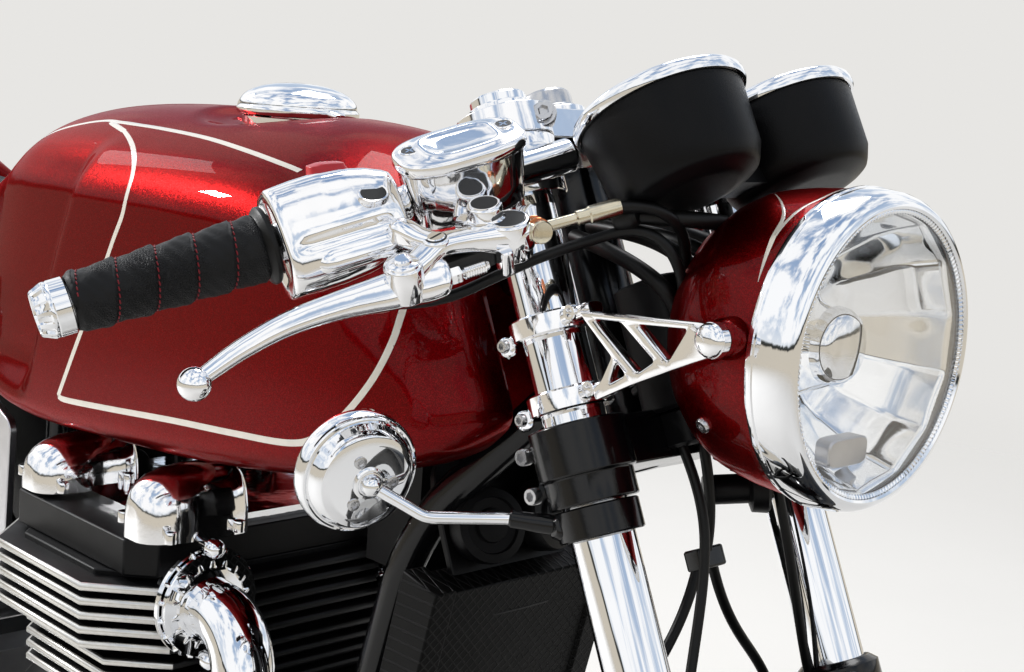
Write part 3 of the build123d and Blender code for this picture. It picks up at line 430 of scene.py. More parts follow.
# Fuel tank
# Pressed steel in candy red: metal flake under tinted clear coat, with hollows for the knees.
# A hand-drawn cream line runs round each side panel and off towards the seat.
candy, candy_skin, spot = finish("candy_red", "candy_red", (0.30, 0.002, 0.006), 0.3, 0.92, grain=30.0,
    coat_weight=0.2, coat_roughness=0.015, specular_tint=(0.9, 0.12, 0.14, 1.0))
flake = spot.cells(2400.0, out="Color")
speck = flake.part("Y")
speck.step(0.55, 1.0).mix((0.11, 0.0004, 0.001), (0.25, 0.002, 0.004)).to(candy_skin, "Base Color")
tilt = flake.node("VectorMath", flake, (0.5, 0.5, 0.5), operation="SUBTRACT")
tilt = tilt.node("VectorMath", tilt, operation="SCALE", named={"Scale": 0.2})
facing = tilt.node("VectorMath", tilt.node("NewGeometry", out="Normal"), tilt, operation="ADD")
facing.node("VectorMath", facing, operation="NORMALIZE").to(candy_skin, "Normal")

# x, half width, floor, shoulder, crown, lean, top corner, floor corner
TANK = [(-284, 114, 678, 828, 876, 12, 46, 20), (-200, 136, 650, 858, 911, 6, 52, 22),
    (-100, 147, 643, 868, 925, 0, 60, 20), (40, 154, 653, 876, 931, 0, 62, 20),
    (200, 153, 666, 878, 929, 0, 58, 24), (340, 142, 688, 872, 912, -12, 52, 30),
    (410, 122, 716, 858, 892, -22, 46, 34), (440, 84, 742, 842, 862, -25, 34, 20)]


def between(table, x):
    """A table's row at x, on a smooth curve through the rows."""
    n = max(0, min(len(table) - 2, sum(row[0] <= x for row in table) - 1))
    a, b = table[n], table[n + 1]
    before, after = table[max(0, n - 1)], table[min(len(table) - 1, n + 2)]
    t = (x - a[0]) / (b[0] - a[0])
    row = []
    for low, p, q, high in zip(before, a, b, after):
        rise_p = (q - low) / (b[0] - before[0]) * (b[0] - a[0])
        rise_q = (high - p) / (after[0] - a[0]) * (b[0] - a[0])
        row.append((2 * t ** 3 - 3 * t * t + 1) * p + (t ** 3 - 2 * t * t + t) * rise_p
            + (3 * t * t - 2 * t ** 3) * q + (t ** 3 - t * t) * rise_q)
    return row


def soft_step(low, high, value):
    """0 up to low, 1 from high, on a soft curve between them."""
    t = max(0.0, min(1.0, (value - low) / (high - low)))
    return t * t * (3 - 2 * t)


def body_ring(row, x, shrink=0.0):
    """Section of a tank or tail, half drawn as (y, height), then mirrored: floor, sides, arched top."""
    _, half, low, shoulder, crown, lean, r_top, r_low = row
    half -= shrink
    sh, cr = shoulder - low, crown - low - shrink
    arc_r = (half ** 2 + (cr - sh) ** 2) / (2 * (cr - sh))
    middle = cr - arc_r
    corner = middle + sqrt((arc_r - r_top) ** 2 - (half - r_top) ** 2)
    meet = atan2(corner - middle, half - r_top)
    half_ring = [((half - r_low) * n / 8, shrink) for n in range(8)]
    for n in range(8):
        a = -pi / 2 + pi / 2 * n / 7
        half_ring.append((half - r_low + r_low * cos(a), shrink + r_low + r_low * sin(a)))
    for n in range(1, 24):
        t = n / 24
        half_ring.append((half + 3.0 * sin(pi * t) * (shrink < 20),
            shrink + r_low + (corner - shrink - r_low) * t))
    for n in range(14):
        a = meet * n / 13
        half_ring.append((half - r_top + r_top * cos(a), corner + r_top * sin(a)))
    for n in range(1, 19):
        a = meet + (pi / 2 - meet) * n / 18
        half_ring.append((arc_r * cos(a), middle + arc_r * sin(a)))
    ring = half_ring[1:] + [(-y, h) for y, h in reversed(half_ring[:-1])]
    tip = radians(lean)
    return [Vector((x + h * sin(tip), y, low + h * cos(tip))) for y, h in ring]


CAP_AT = (92, 918.5)


def tank_shape(p):
    """Knee hollow behind a slanting crease, and a shallow dish round the filler."""
    crease_x = 14 + (p.z - 893) * 0.42
    hollow = soft_step(0, 34, crease_x - p.x) * soft_step(650, 700, p.z) * (1 - soft_step(862, 912, p.z))
    p.y *= 1 - 0.10 * hollow * (1 - soft_step(200, 290, -p.x))
    off = sqrt((p.x - CAP_AT[0] + 4) ** 2 + p.y ** 2)
    if p.z > 880:
        p.z -= 8.5 * (1 - soft_step(56, 84, off))
    return p


bm = bmesh.new()
# stations along the tank, and how far each is drawn in to round off the rear edge and the front edge
REAR_EDGE, FRONT_EDGE, STATION = 12, 10, 5.2
rear, front = TANK[0][0] + REAR_EDGE, TANK[-1][0] - FRONT_EDGE
stations = [(rear - REAR_EDGE * cos(a), REAR_EDGE * (1 - sin(a))) for a in [pi / 12 * n for n in range(6)]]
stations += [(rear + STATION * n, 0.0) for n in range(int((front - rear) / STATION) + 1)]
stations += [(front + FRONT_EDGE * sin(a), FRONT_EDGE * (1 - cos(a))) for a in
    [pi / 12 * n for n in range(1, 7)]]
lofted(bm, [[tank_shape(p) * MM for p in body_ring(between(TANK, x), x, shrink)] for x, shrink in stations])
tank = piece("tank_shell", bm, candy, "chassis", "fuel_tank", crease=40)


def cut(target, boxes):
    """Cuts boxes out of a piece for good: each is (low corner, high corner) in mm."""
    for low, high in boxes:
        bm = bmesh.new()
        middle, size = (mm(*low) + mm(*high)) / 2, mm(*high) - mm(*low)
        bmesh.ops.create_cube(bm, size=1, matrix=Matrix.Translation(middle) @ Matrix.Diagonal((*size, 1)))
        mesh = bpy.data.meshes.new("cutter")
        bm.to_mesh(mesh)
        bm.free()
        cutter = bpy.data.objects.new("cutter", mesh)
        bpy.context.collection.objects.link(cutter)
        hole = target.modifiers.new("cut", "BOOLEAN")
        hole.object, hole.operation, hole.solver = cutter, "DIFFERENCE", "EXACT"
        bpy.context.view_layer.update()
        done = bpy.data.meshes.new_from_object(target.evaluated_get(bpy.context.evaluated_depsgraph_get()))
        target.modifiers.remove(hole)
        target.data = done
        bpy.data.objects.remove(cutter)


# the tunnel under it, which leaves room for the frame's top tubes and the steering head
cut(tank, [((322, -50, 600), (500, 50, 960)), ((-300, -84, 600), (-180, 84, 692)),
    ((-190, -84, 600), (60, 84, 712)), ((50, -84, 600), (210, 84, 764)), ((200, -70, 600), (330, 70, 800)),
    ((320, -64, 600), (500, 64, 842))])

# The camera's own place and aim, as fitted to the photograph; the lines below are laid along its rays.
EYE = Vector((1.1697, -0.7992, 0.9702))
AIM, RIGHT = Vector((-0.70002, 0.69567, -0.16129)), Vector((0.69489, 0.71562, 0.07070))
FOCAL, MIDDLE = 1567.2, (512, 336)


def tree_of(*pieces):
    """Search tree over the meshes of some pieces or CAD nodes."""
    bm = bmesh.new()
    for each in pieces:
        bm.from_mesh(each.data)
    made = BVHTree.FromBMesh(bm)
    bm.free()
    return made


def seen(tree, x, y):
    """Where the ray through a place in the view meets a surface: the point and its outward normal."""
    way = AIM * FOCAL + RIGHT * (x - MIDDLE[0]) - RIGHT.cross(AIM) * (y - MIDDLE[1])
    point, normal, _, _ = tree.ray_cast(EYE, way.normalized())
    return point, normal


def smooth_path(points, step):
    """Points close together along a smooth curve through a few."""
    table = [(n, *p) for n, p in enumerate(points)]
    length = sum((Vector(a) - Vector(b)).length for a, b in zip(points, points[1:]))
    count = max(2, int(length / step))
    return [Vector(between(table, (len(points) - 1) * n / count)[1:]) for n in range(count + 1)]


def flipped(point):
    """The same place on the other side."""
    return Vector((point.x, -point.y, point.z))


def painted(name, tree, body, *strokes, step=0.004, lift=0.12):
    """Thin cream lines on a surface, right and left: each stroke is points near it, and widths in mm."""
    bm = bmesh.new()
    for points, widths in strokes:
        spots = [tree.find_nearest(p)[:2] for p in smooth_path(points, step)]
        rows = []
        for n, (p, normal) in enumerate(spots):
            ahead = spots[min(n + 1, len(spots) - 1)][0] - spots[max(n - 1, 0)][0]
            side = normal.cross(ahead).normalized()
            t = n / (len(spots) - 1) * (len(widths) - 1)
            k = min(int(t), len(widths) - 2)
            half = (widths[k] + (widths[k + 1] - widths[k]) * (t - k)) / 2 * MM
            rows.append([])
            for s in (-1, -0.4, 0.4, 1):
                near, up, _, _ = tree.find_nearest(p + side * half * s)
                rows[-1].append(near + up * lift * MM * (0.2 if abs(s) == 1 else 1))
        lofted(bm, rows, ends=False, closed=False)
        lofted(bm, [[flipped(q) for q in row] for row in rows], ends=False, closed=False)
    made = piece(name, bm, cream, body)
    # an open sheet's faces are turned the way its carrier's face
    bm = bmesh.new()
    bm.from_mesh(made.data)
    for face in bm.faces:
        if face.normal.dot(tree.find_nearest(face.calc_center_median())[1]) < 0:
            face.normal_flip()
    bm.to_mesh(made.data)
    bm.free()


cream, _, _ = finish("cream_line", "candy_red", (0.82, 0.76, 0.66), 0.3, grain=90.0, bumps=[(500.0, 0.00003)],
    coat_weight=1.0, coat_roughness=0.02)
# places in the view: round the panel, then the tail that runs on towards the seat
PANEL = [(300, 171), (275, 161), (245, 150), (207, 138), (170, 130), (140, 125), (112, 122), (124, 131),
    (133, 148), (133, 172), (124, 207), (113, 240), (101, 275), (86, 318), (70, 362), (58, 396), (66, 400),
    (105, 408), (170, 420), (232, 433), (290, 443), (318, 436), (345, 414), (372, 380), (392, 342),
    (404, 306)]
TAIL_LINE = [(140, 125), (120, 122), (100, 121)]
tank_tree = tree_of(tank)
strokes = [([seen(tank_tree, *spot)[0] for spot in line], widths) for line, widths in ((PANEL[:8], (5, 5)),
    (PANEL[6:16], (3, 5, 5, 5)), (PANEL[15:], (5, 5)), (TAIL_LINE, (5, 5, 4)))]
strokes[-1][0].extend([mm(-150, -100, 892), mm(-215, -112, 868), mm(-272, -112, 836)])
painted("tank_lines", tank_tree, "chassis", *strokes)

# Filler: a polished, domed, hinged cap with a latch, on a turned neck.
cap_place = at(mm(CAP_AT[0], 0, CAP_AT[1]), (0, 0, 1))
bm = bmesh.new()
turned(bm, cap_place, [(0, 8.2), (47, 8.2), (50.2, 8.8), (51.4, 11), (51.2, 13.4), (49.6, 15), (49, 16.4),
    (49.2, 17.4), (48.4, 20.4), (46.2, 23.6), (42.6, 26.8), (37.2, 29.8), (30, 32.4), (21, 34.4),
    (10.6, 35.6), (0, 36)], 96)
hinge = (CAP_AT[0] - 60, CAP_AT[1] + 13)
for side in (-1, 1):
    arm = at(mm(hinge[0], side * 13, hinge[1]), (0, 1, 0))
    turned(bm, arm, [(2.1, -3), (6, -3), (6, 3), (2.1, 3)], 32, closed=True)
    lofted(bm, [oval(at(mm(x, side * 13, z), (1, 0, 0.25), (0, 1, 0)), 3, 3.4, 0, 3, 16) for x, z in
        [(hinge[0] + 4, hinge[1] + 0.5), (hinge[0] + 14, hinge[1] + 1), (hinge[0] + 26, hinge[1] + 5)]])
turned(bm, at(mm(hinge[0], -16, hinge[1]), (0, 1, 0)), [(0, 0), (2, 0), (2, 32), (0, 32)], 20)
lofted(bm, [oval(at(mm(x, 0, z), (1, 0, -0.2), (0, 1, 0)), half, thick, 0, 3, 24) for x, z, half, thick in
    [(CAP_AT[0] + 38, 933.5, 9, 4), (CAP_AT[0] + 48, 931.5, 8.5, 3.5), (CAP_AT[0] + 55, 930, 7, 3),
    (CAP_AT[0] + 58, 929.4, 5, 2)]])
piece("filler_cap_dome", bm, alloy, "fuel_cap", "fuel_cap", crease=40)
softened(alloy, "filler_base", edge=0.4)

# Seat and tail
# A thin solo seat of black leather with sewn cross channels and piping, and a painted tail with a lamp.
SEAT = [(-592, 114, 738, 796, 822, 0, 28, 8), (-480, 120, 724, 782, 810, 0, 30, 8),
    (-370, 108, 706, 768, 800, 0, 28, 8), (-292, 84, 700, 752, 786, 0, 22, 8)]
TAIL = [(-900, 46, 768, 798, 816, 0, 12, 8), (-800, 82, 753, 808, 856, 0, 28, 10),
    (-680, 108, 745, 820, 876, 0, 34, 10), (-595, 115, 740, 800, 848, 0, 30, 10)]
leather, hide, spot = finish("seat_leather", "seat_leather", (0.010, 0.009, 0.008), 0.46, grain=40.0,
    tint=0.3, specular_ior_level=0.25)
pores = spot.cells(520.0).step(0.0, 0.7)
spot.noise(90.0, 4.0).bump(0.0008, pores.bump(0.0004)).to(hide, "Normal")


def body_loft(bm, table, radius, step, shape=lambda p: p):
    """A body between two x values, its ends rounded by a radius in mm."""
    first, last = table[0][0], table[-1][0]
    rounding = [radius * (1 - cos(pi / 2 * n / 5)) for n in range(5)]
    middle = last - first - 2 * radius
    count = int(middle / step)
    stops = [first + r for r in rounding] + [first + radius + middle * n / count for n in range(count + 1)]
    rings = []
    for s in stops + [last - r for r in reversed(rounding)]:
        edge = min(s - first, last - s)
        shrink = radius - sqrt(max(0, radius ** 2 - (radius - edge) ** 2)) if edge < radius else 0
        rings.append([shape(p) * MM for p in body_ring(between(table, s), s, shrink)])
    lofted(bm, rings)


CHANNELS = [-330, -368, -406, -444, -482, -520, -558]


def quilt(p):
    """Presses the sewn channels into the top and swells the pads between them."""
    near = min(abs(p.x - c) for c in CHANNELS)
    on_top = soft_step(745, 790, p.z)
    p.z += on_top * (3.5 * soft_step(0, 16, near) - 5 * (1 - soft_step(0, 5, near)))
    return p


bm = bmesh.new()
body_loft(bm, SEAT, 8, 3.0, quilt)
pad = piece("seat_pad", bm, leather, "chassis", "seat", crease=180)
bm = bmesh.new()
body_loft(bm, TAIL, 10, 8.0)
tail = piece("tail_shell", bm, candy, "chassis", "tail_cowl", crease=40)
painted("tail_lines", tree_of(tail), "chassis", ([mm(-604, -116, 824), mm(-700, -108, 836),
    mm(-800, -86, 826), mm(-880, -54, 800)], (5, 5, 2)), step=0.006)

# Tail lamp: a red lens in a chrome ring. Number plate holder: a bare plate on a bent stay.
red_lens, lens_skin, spot = finish("red_lens", "red_lens", (0.5, 0.006, 0.008), 0.12, grain=50.0,
    coat_weight=0.6)
spot.part("Y").wave(0.006).most(spot.part("Z").wave(0.006)).bump(0.0009).to(lens_skin, "Normal")
lamp_place = at(mm(-900, 0, 788), (-1, 0, 0), (0, 0, 1))
bm = bmesh.new()
turned(bm, lamp_place, [(24.5, 2), (24.5, 20), (22, 25), (14, 27.5), (0, 28.6)], 48)
piece("tail_lens", bm, red_lens, "chassis", "tail_lamp")
bm = bmesh.new()
turned(bm, lamp_place, [(20, 0), (27, 0), (28, 2), (28, 17), (26.5, 19), (24.6, 19), (24.6, 3), (20, 3)], 48,
    closed=True)
piece("tail_lamp_ring", bm, chrome, "chassis")
softened(satin, "side_covers", "rearsets", "swingarm", edge=1.2)

# Fork
# Hard-chromed stanchions run through a black lower yoke and a polished upper one, with capped tops.
RAKE, OFFSET, FORK_HALF = radians(25), 48, 97.6
V, U = Vector((cos(RAKE), 0, sin(RAKE))), Vector((-sin(RAKE), 0, cos(RAKE)))
HEAD = mm(741 + (300 * sin(RAKE) - OFFSET) / cos(RAKE) - 915 * tan(RAKE), 0, 915)


def fork(v, y, u):
    """Point in the steering frame: v ahead of the axis, y left, u up it, in mm."""
    return HEAD + V * v * MM + Vector((0, y * MM, 0)) + U * u * MM


bm = bmesh.new()
for side in (-1, 1):
    leg = at(fork(OFFSET, side * FORK_HALF, 0), U, V)
    turned(bm, leg, [(0, -448), (20.5, -448), (20.5, 16.5), (20, 17.6), (18.2, 18), (18.2, 23), (17.2, 24.2),
        (9.5, 24.2)], 96)
    stack(bm, leg, [(9.5, 9.5, 24.2), (9.5, 9.5, 26.6), (8, 8, 27)], 2, 6)
piece("stanchions", bm, chrome, "steering", "fork_tubes", crease=30)
softened(alloy, "top_yoke", edge=2.2)
bm = bmesh.new()
stem = at(fork(0, 0, 0), U, V)
turned(bm, stem, [(0, -222), (15, -222), (15, 34.3), (21, 34.3), (21, 36.4), (20.2, 37.2), (18.6, 37.6),
    (18.6, 45), (18, 48), (16, 50), (13, 50.6), (10.6, 50), (9.6, 48), (9.4, 44), (0, 44)], 64)
piece("stem_and_nut", bm, steel, "steering", "steering_stem", crease=30)

# Pinch bolts of both yokes, of the bar clamps and of the lamp's clamps, all with socket heads.
LAMP_CLAMPS = (-128, -176)  # how far down the fork each of them sits
YOKE_BOLT = (543, 113)  # its place in the view
bm = bmesh.new()
for side in (-1, 1):
    across = Vector((0, side, 0))
    for u in (-203, -228):
        screw(bm, at(fork(18, side * 116, u), across, V), 5.5, 6)
    for u in LAMP_CLAMPS:
        screw(bm, at(fork(20, side * 114, u - 4), across, V), 4.0, 4)
yoke_spot = seen(tree_of(bpy.data.objects["top_yoke_finished"]), *YOKE_BOLT)[0]
for side in (-1, 1):
    yoke_bolt = at((yoke_spot.x, -side * yoke_spot.y, yoke_spot.z), V * 0.75 + Vector((0, side * 0.66, 0)), U)
    turned(bm, yoke_bolt, [(0, -12), (8.6, -12), (8.8, 0), (8.0, 1.4), (0, 1.4)], 40)
    screw(bm, at(yoke_bolt @ mm(0, 0, 1.2), yoke_bolt.col[2].xyz, U), 6.2, 5)
piece("pinch_bolts", bm, steel, "steering", crease=40)

# Handlebars, grips and bar ends
# Clip-on bars of chromed tube, each clamped to a stanchion.
# The grips are leather strip, wound on and stitched in red.
BAR_IN, BAR_OUT = (86.4, -97, -30.5), (-51, -380, -73.4)


def along(y):
    """Point on the right bar's axis at a given y."""
    t = (y - BAR_IN[1]) / (BAR_OUT[1] - BAR_IN[1])
    return fork(*(a + t * (b - a) for a, b in zip(BAR_IN, BAR_OUT)))


OUTWARD = (along(-380) - along(-97)).normalized()


def bar_place(y):
    """Place on the bar: x ahead, y up, z outward, on the right bar."""
    return at(along(y), OUTWARD, V)


bm = bmesh.new()
turned(bm, bar_place(-89), [(0, 0), (8.6, 0), (10.2, 0.5), (11, 1.8),
    (11, (along(-89) - along(-370)).length / MM)], 64)
BORE = 20.6  # of every clamp on a stanchion
clamp = at(fork(OFFSET, -FORK_HALF, -47), U, V)
collar(bm, clamp, BORE, 30, 0, 38.6, 1.2)
root = fork(OFFSET + 12, -FORK_HALF - 3, -28)
neck = at(root, fork(84, -110, -31) - root, U)
turned(bm, neck, [(15, 0), (14, 10), (13, 16), (12.6, 24), (0, 24)], 48)
piece("clip_on_bars", bm, chrome, "steering", "clip_ons", crease=40, both=True)

bm = bmesh.new()
end = bar_place(-370.2)
lofted(bm, [polar(end, lambda a: radius - lobe * (cos(a * 12) > 0), height, 96) for height, radius, lobe in
    [(0, 15.6, 0), (0.6, 16.3, 0), (9, 16.3, 0), (9.6, 15.9, 0), (10.2, 16.2, 0), (11.5, 16.2, 0),
    (12.5, 16.0, 1.4), (15.6, 14.6, 1.9), (18.4, 13.4, 1.0), (19.2, 12.6, 0), (19.0, 11.6, 0),
    (17.8, 11.2, 0), (17.6, 4, 0)]])
piece("bar_end_weights", bm, chrome, "steering", crease=30, both=True)

grip_hide, grip_skin, spot = finish("grip_leather", "grip_leather", (0.006, 0.006, 0.0065), 0.5, grain=70.0,
    tint=0.4, specular_ior_level=0.25)
creases = spot.cells(640.0, feature="DISTANCE_TO_EDGE").step(0.0, 0.28)
worn = spot.noise(26.0, 3.0).step(0.42, 0.66)
(creases * worn).bump(0.0006, spot.noise(260.0, 3.0).bump(0.00035)).to(grip_skin, "Normal")
(0.42 + spot.noise(120.0, 2.0) * 0.22).to(grip_skin, "Roughness")
thread, _, _ = finish("red_thread", "grip_leather", (0.26, 0.006, 0.014), 0.55, grain=300.0,
    bumps=[(3000.0, 0.0001)])

GRIP_START, GRIP_LONG, PITCH = -270.4, 111.0, 22.6
WRAP = bar_place(GRIP_START)


def grip_radius(s, a):
    """Leather surface: a strip wound on at a slant, each turn lapping over the last, thinner outwards."""
    turn = (s + PITCH * a / (2 * pi) + 4) % PITCH
    lap = 1.5 * (1 - turn / PITCH) if turn > 0.8 else 1.5 * turn / 0.8
    ripple = 0.22 * sin(a * 5 + s * 0.31) + 0.16 * sin(a * 9 - s * 0.8)
    ends = -1.6 * (1 - soft_step(0, 3.5, min(s, GRIP_LONG - s)))
    return 19.2 - 2.6 * s / GRIP_LONG + lap + ripple + ends


bm = bmesh.new()
rounds = int(GRIP_LONG / 0.85)
lofted(bm, [polar(WRAP, lambda a: grip_radius(s, a), s, 96) for s in
    [GRIP_LONG * n / rounds for n in range(rounds + 1)]])
wrap = piece("grip_wraps", bm, grip_hide, "steering", "grips", crease=60, both=True)
bm = bmesh.new()
STITCH, THREAD, GIRTH = 3.9, 2.7, 18.6  # from one stitch to the next, its length, the seam's radius
for n in range(int((GRIP_LONG - 6) / PITCH * 2 * pi * GIRTH / STITCH)):
    a = n * STITCH / GIRTH
    s = GRIP_LONG - 3.4 - PITCH * a / (2 * pi)
    b, t = a + THREAD / GIRTH, s - PITCH * THREAD / GIRTH / (2 * pi) + 0.5
    first, last = [WRAP @ mm((grip_radius(h, c) + 0.15) * cos(c), (grip_radius(h, c) + 0.15) * sin(c), h)
        for h, c in ((s, a), (t, b))]
    long = (last - first).length / MM
    turned(bm, at(first, last - first), [(0, -0.2), (0.42, 0.2), (0.5, long / 2), (0.42, long - 0.2),
        (0, long + 0.2)], 6)
piece("grip_stitches", bm, thread, "steering", crease=180, both=True)
bm = bmesh.new()
turned(bm, bar_place(-265.7), [(11.1, 0), (22.4, 0), (23.2, 1.0), (23.2, 3.0), (22.2, 4.2), (20.6, 5.2),
    (19.4, 6.4), (11.1, 6.4)], 64, closed=True)
piece("grip_collars", bm, rubber, "steering", crease=30, both=True)

# Switch housings
# Two polished cast halves clamped round each bar, with a red rocker on top and a screw in a deep well.
SWITCH, HOUSING_LONG = bar_place(-196), 75
SCREW_WELL = (373, 194)  # its place in the view
# along the bar, ahead, behind, above, below, boxiness
HOUSING = [(-0.8, 19, 17, 19, 23, 3.0), (0.4, 21, 19, 21.5, 26, 3.0), (3, 22.5, 20, 23, 28, 3.0),
    (12, 24.5, 21, 27, 31, 2.9), (26, 26, 22, 30.5, 34, 2.9), (40, 26.5, 22, 32, 35.5, 2.9),
    (54, 26, 22, 31.5, 36, 3.0), (64, 25, 21.5, 30.5, 35.5, 3.1), (68, 24.6, 21.2, 30, 35, 3.1),
    (69.4, 23.4, 20, 28.6, 33.5, 3.1), (69.4, 20.5, 18, 24, 26, 2.6), (68.2, 19.5, 17, 23, 24, 2.4)]


def housing_ring(s, ahead, behind, above, below, power, count=120):
    """Section of the castings. Their split line stands proud as a rounded rib on the front, over a waist."""
    ring = []
    for a in [2 * pi * n / count for n in range(count)]:
        x, y = squared(a, power)
        x, y = x * (ahead if x > 0 else behind), y * (above if y > 0 else below)
        front = (cos(a) > 0.3) * soft_step(4, 14, s) * (1 - soft_step(56, 66, s))
        ridge, waist = 1.6 * (1 - soft_step(0, 2.6, abs(y + 4.5))), 2.2 * (1 - soft_step(0, 5, abs(y + 11)))
        ring.append(SWITCH @ mm(x + (ridge - waist) * front, y, s * HOUSING_LONG / 69.4))
    return ring


bm = bmesh.new()
rings = []
for a, b in zip(HOUSING, HOUSING[1:]):
    count = max(1, int((b[0] - a[0]) / 2.5))
    for n in range(count):
        t = n / count
        rings.append(housing_ring(*(p + (q - p) * t for p, q in zip(a, b))))
rings.append(housing_ring(*HOUSING[-1]))
lofted(bm, rings)
# lower pod with the cable entry
pod = at(SWITCH @ mm(17, -22, 6), OUTWARD, V)
stack(bm, pod, [(9 * k, 8 * k, h) for h, k in [(0, 0.35), (1.5, 0.7), (5, 0.93), (10, 1.0), (44, 1.05),
    (50, 0.95), (54, 0.7), (56, 0.3)]], 2.4, 36)
housing = piece("switch_castings", bm, alloy, "steering", "switch_housings", crease=60, both=True)
bm = bmesh.new()
well = at(seen(tree_of(housing), *SCREW_WELL)[0], V * 0.8 + Vector((0, -0.35, 0.5)), OUTWARD)
stack(bm, well, [(10.4, 7.4, -3), (9.8, 6.8, 0.4), (9.0, 6.2, 1.4), (8.0, 5.4, 1.2), (7.6, 5.2, 0)], 2.3)
piece("switch_screw_wells", bm, alloy, "steering", crease=50, both=True)
# painted shade: a plain black laid into the switch wells and into the perch's holes, slots, recesses and
# hollow, where shade falls
dark, _, _ = finish("painted_recess_shade", "black_plastic", (0.004, 0.004, 0.004), 0.5, grain=200.0,
    bumps=[(900.0, 0.00005)])
bm = bmesh.new()
stack(bm, well, [(7.8, 5.3, -1), (7.8, 5.3, 1.1)], 2.3)
piece("switch_well_shadows", bm, dark, "steering", both=True)
red_switch, _, _ = finish("red_switch", "red_lens", (0.62, 0.02, 0.03), 0.32, grain=160.0,
    bumps=[(1200.0, 0.00005)])
rocker = at(SWITCH @ mm(0, 29, 32), Vector((0, 0, 1)) + OUTWARD * 0.1, OUTWARD)
bm = bmesh.new()
lofted(bm, [oval(rocker, a, b, h, 4, 36, (shift, 0)) for a, b, h, shift in [(12, 8, -3, 0), (12, 8, 4, 0),
    (11, 7.4, 6.5, 1), (8, 6.6, 8.0, -1.5), (6, 5.6, 8.3, -2)]])
piece("kill_switches", bm, red_switch, "steering", crease=28, edge=0.4, both=True)

# Front brake master cylinder and levers
# A polished forged perch carries the fluid reservoir with its screwed lid, the piston barrel and the lever.
LID = at(fork(84, -175, -20), (0.177, -0.389, 0.904), (-0.337, -0.887, -0.315))
bm = bmesh.new()
lofted(bm, [oval(LID, a, b, h, p, 96) for a, b, h, p in [(35.6, 18.4, -44, 2.8), (36.6, 19.4, -42, 2.8),
    (37.2, 20, -30, 2.8), (38.4, 21.2, -12, 2.9), (38.8, 21.6, -9, 2.9), (39.8, 22.4, -8.6, 2.9),
    (40.6, 23.1, -7, 2.9), (40.8, 23.3, -4.5, 2.9), (40.3, 22.9, -1.6, 2.9), (39.2, 22, -0.3, 2.9),
    (37.6, 20.6, 0, 2.9), (27, 18.6, 0.3, 3.6), (25.4, 17.4, 1.4, 3.6), (23.6, 15.8, 1.9, 3.6),
    (21.6, 13.8, 1.9, 3.6), (20.6, 12.8, 1.3, 3.6), (10, 6, 1.1, 3)]])
# perch: rails along the lid's long side, then round bosses on them; places across and down, half sizes
RAILS = [
    [(-21, 42, -47, 7, 7), (-19.6, 42, -47, 9.6, 9), (-16, 42, -47, 12, 11), (-8, 42, -47, 13, 11),
     (8, 42, -43.6, 9.4, 8), (22, 41.5, -41, 8, 6.6), (37, 41, -39.6, 8.4, 6), (50, 45, -43.6, 8.4, 6.4),
     (62, 49, -48, 8, 8)],
    [(34, 40, -40, 7, 5), (44, 32, -37, 7.4, 6.4), (50, 24, -34, 7.6, 7.4), (53, 19, -33, 6.4, 6.4),
     (54, 17, -33, 3, 3)],
    [(6, 18, -44, 12, 8), (2, 30, -42, 11, 9), (-6, 40, -44, 10, 8)]]
# a band clamps it round the bar, and a neck joins the two
band = bar_place(-150)
neck_foot, neck_top = band @ mm(10, -6, 12), LID @ mm(0, 24, -42)
neck, neck_long = at(neck_foot, neck_top - neck_foot, OUTWARD), (neck_top - neck_foot).length / MM
arm = bmesh.new()
for made in (bm, arm):
    for rail in RAILS[:2 if made is arm else 3]:
        table, rings = [(k, *row) for k, row in enumerate(rail)], []
        for n in range(6 * (len(rail) - 1) + 1):
            _, x, y, z, half_y, half_z = between(table, n / 6)
            here = between(table, min(n / 6 + 0.05, len(rail) - 1))
            near = between(table, max(n / 6 - 0.05, 0))
            heading = LID.to_3x3() @ (Vector(here[1:4]) - Vector(near[1:4]))
            rings.append(oval(at(LID @ mm(x, y, z), heading, LID.col[2].xyz), half_z, half_y, 0, 2.8, 32))
        lofted(made, rings)
    # across, along, top, radius, depth
    for x, y, top, r, deep in ((1, 30, -28, 10.6, 20), (-8, 42, -36, 12.8, 24), (37.5, 41, -33.6, 8.2, 8),
            (62, 49, -39.4, 11, 22)):
        turned(made, shifted(LID, x, y, top), [(0, -deep), (r - 1, -deep), (r, -deep + 1), (r, -1.6),
            (r - 0.5, -0.5), (r - 1.6, 0), (0, 0)], 56)
    collar(made, band, 11.1, 17.4, 0, 24.6, steps=64)
    stack(made, neck, [(11 - 2 * sin(pi * t), 8.5 - 1.5 * sin(pi * t), neck_long * t) for t in
        [n / 8 for n in range(9)]], 2.6, 32)
piece("master_casting", bm, alloy, "steering", "brake_master", crease=46)
# the left perch has no reservoir: a plain forged arm for the cable
bm = arm
for v in bm.verts:
    v.co.y = -v.co.y
adjuster, inner = flipped(LID @ mm(-8, 29.5, -42.5)), flipped(LID @ mm(-34, 29, -43.5))
turned(bm, at(adjuster, inner - adjuster), [(0, -4), (7, -4), (7, 4), (9, 4.6), (9, 9), (7, 9.6), (6, 10),
    (6, 20), (4, 24), (3.4, 30), (0, 30)], 32)
piece("clutch_casting", bm, alloy, "steering", "clutch_perch", crease=46)
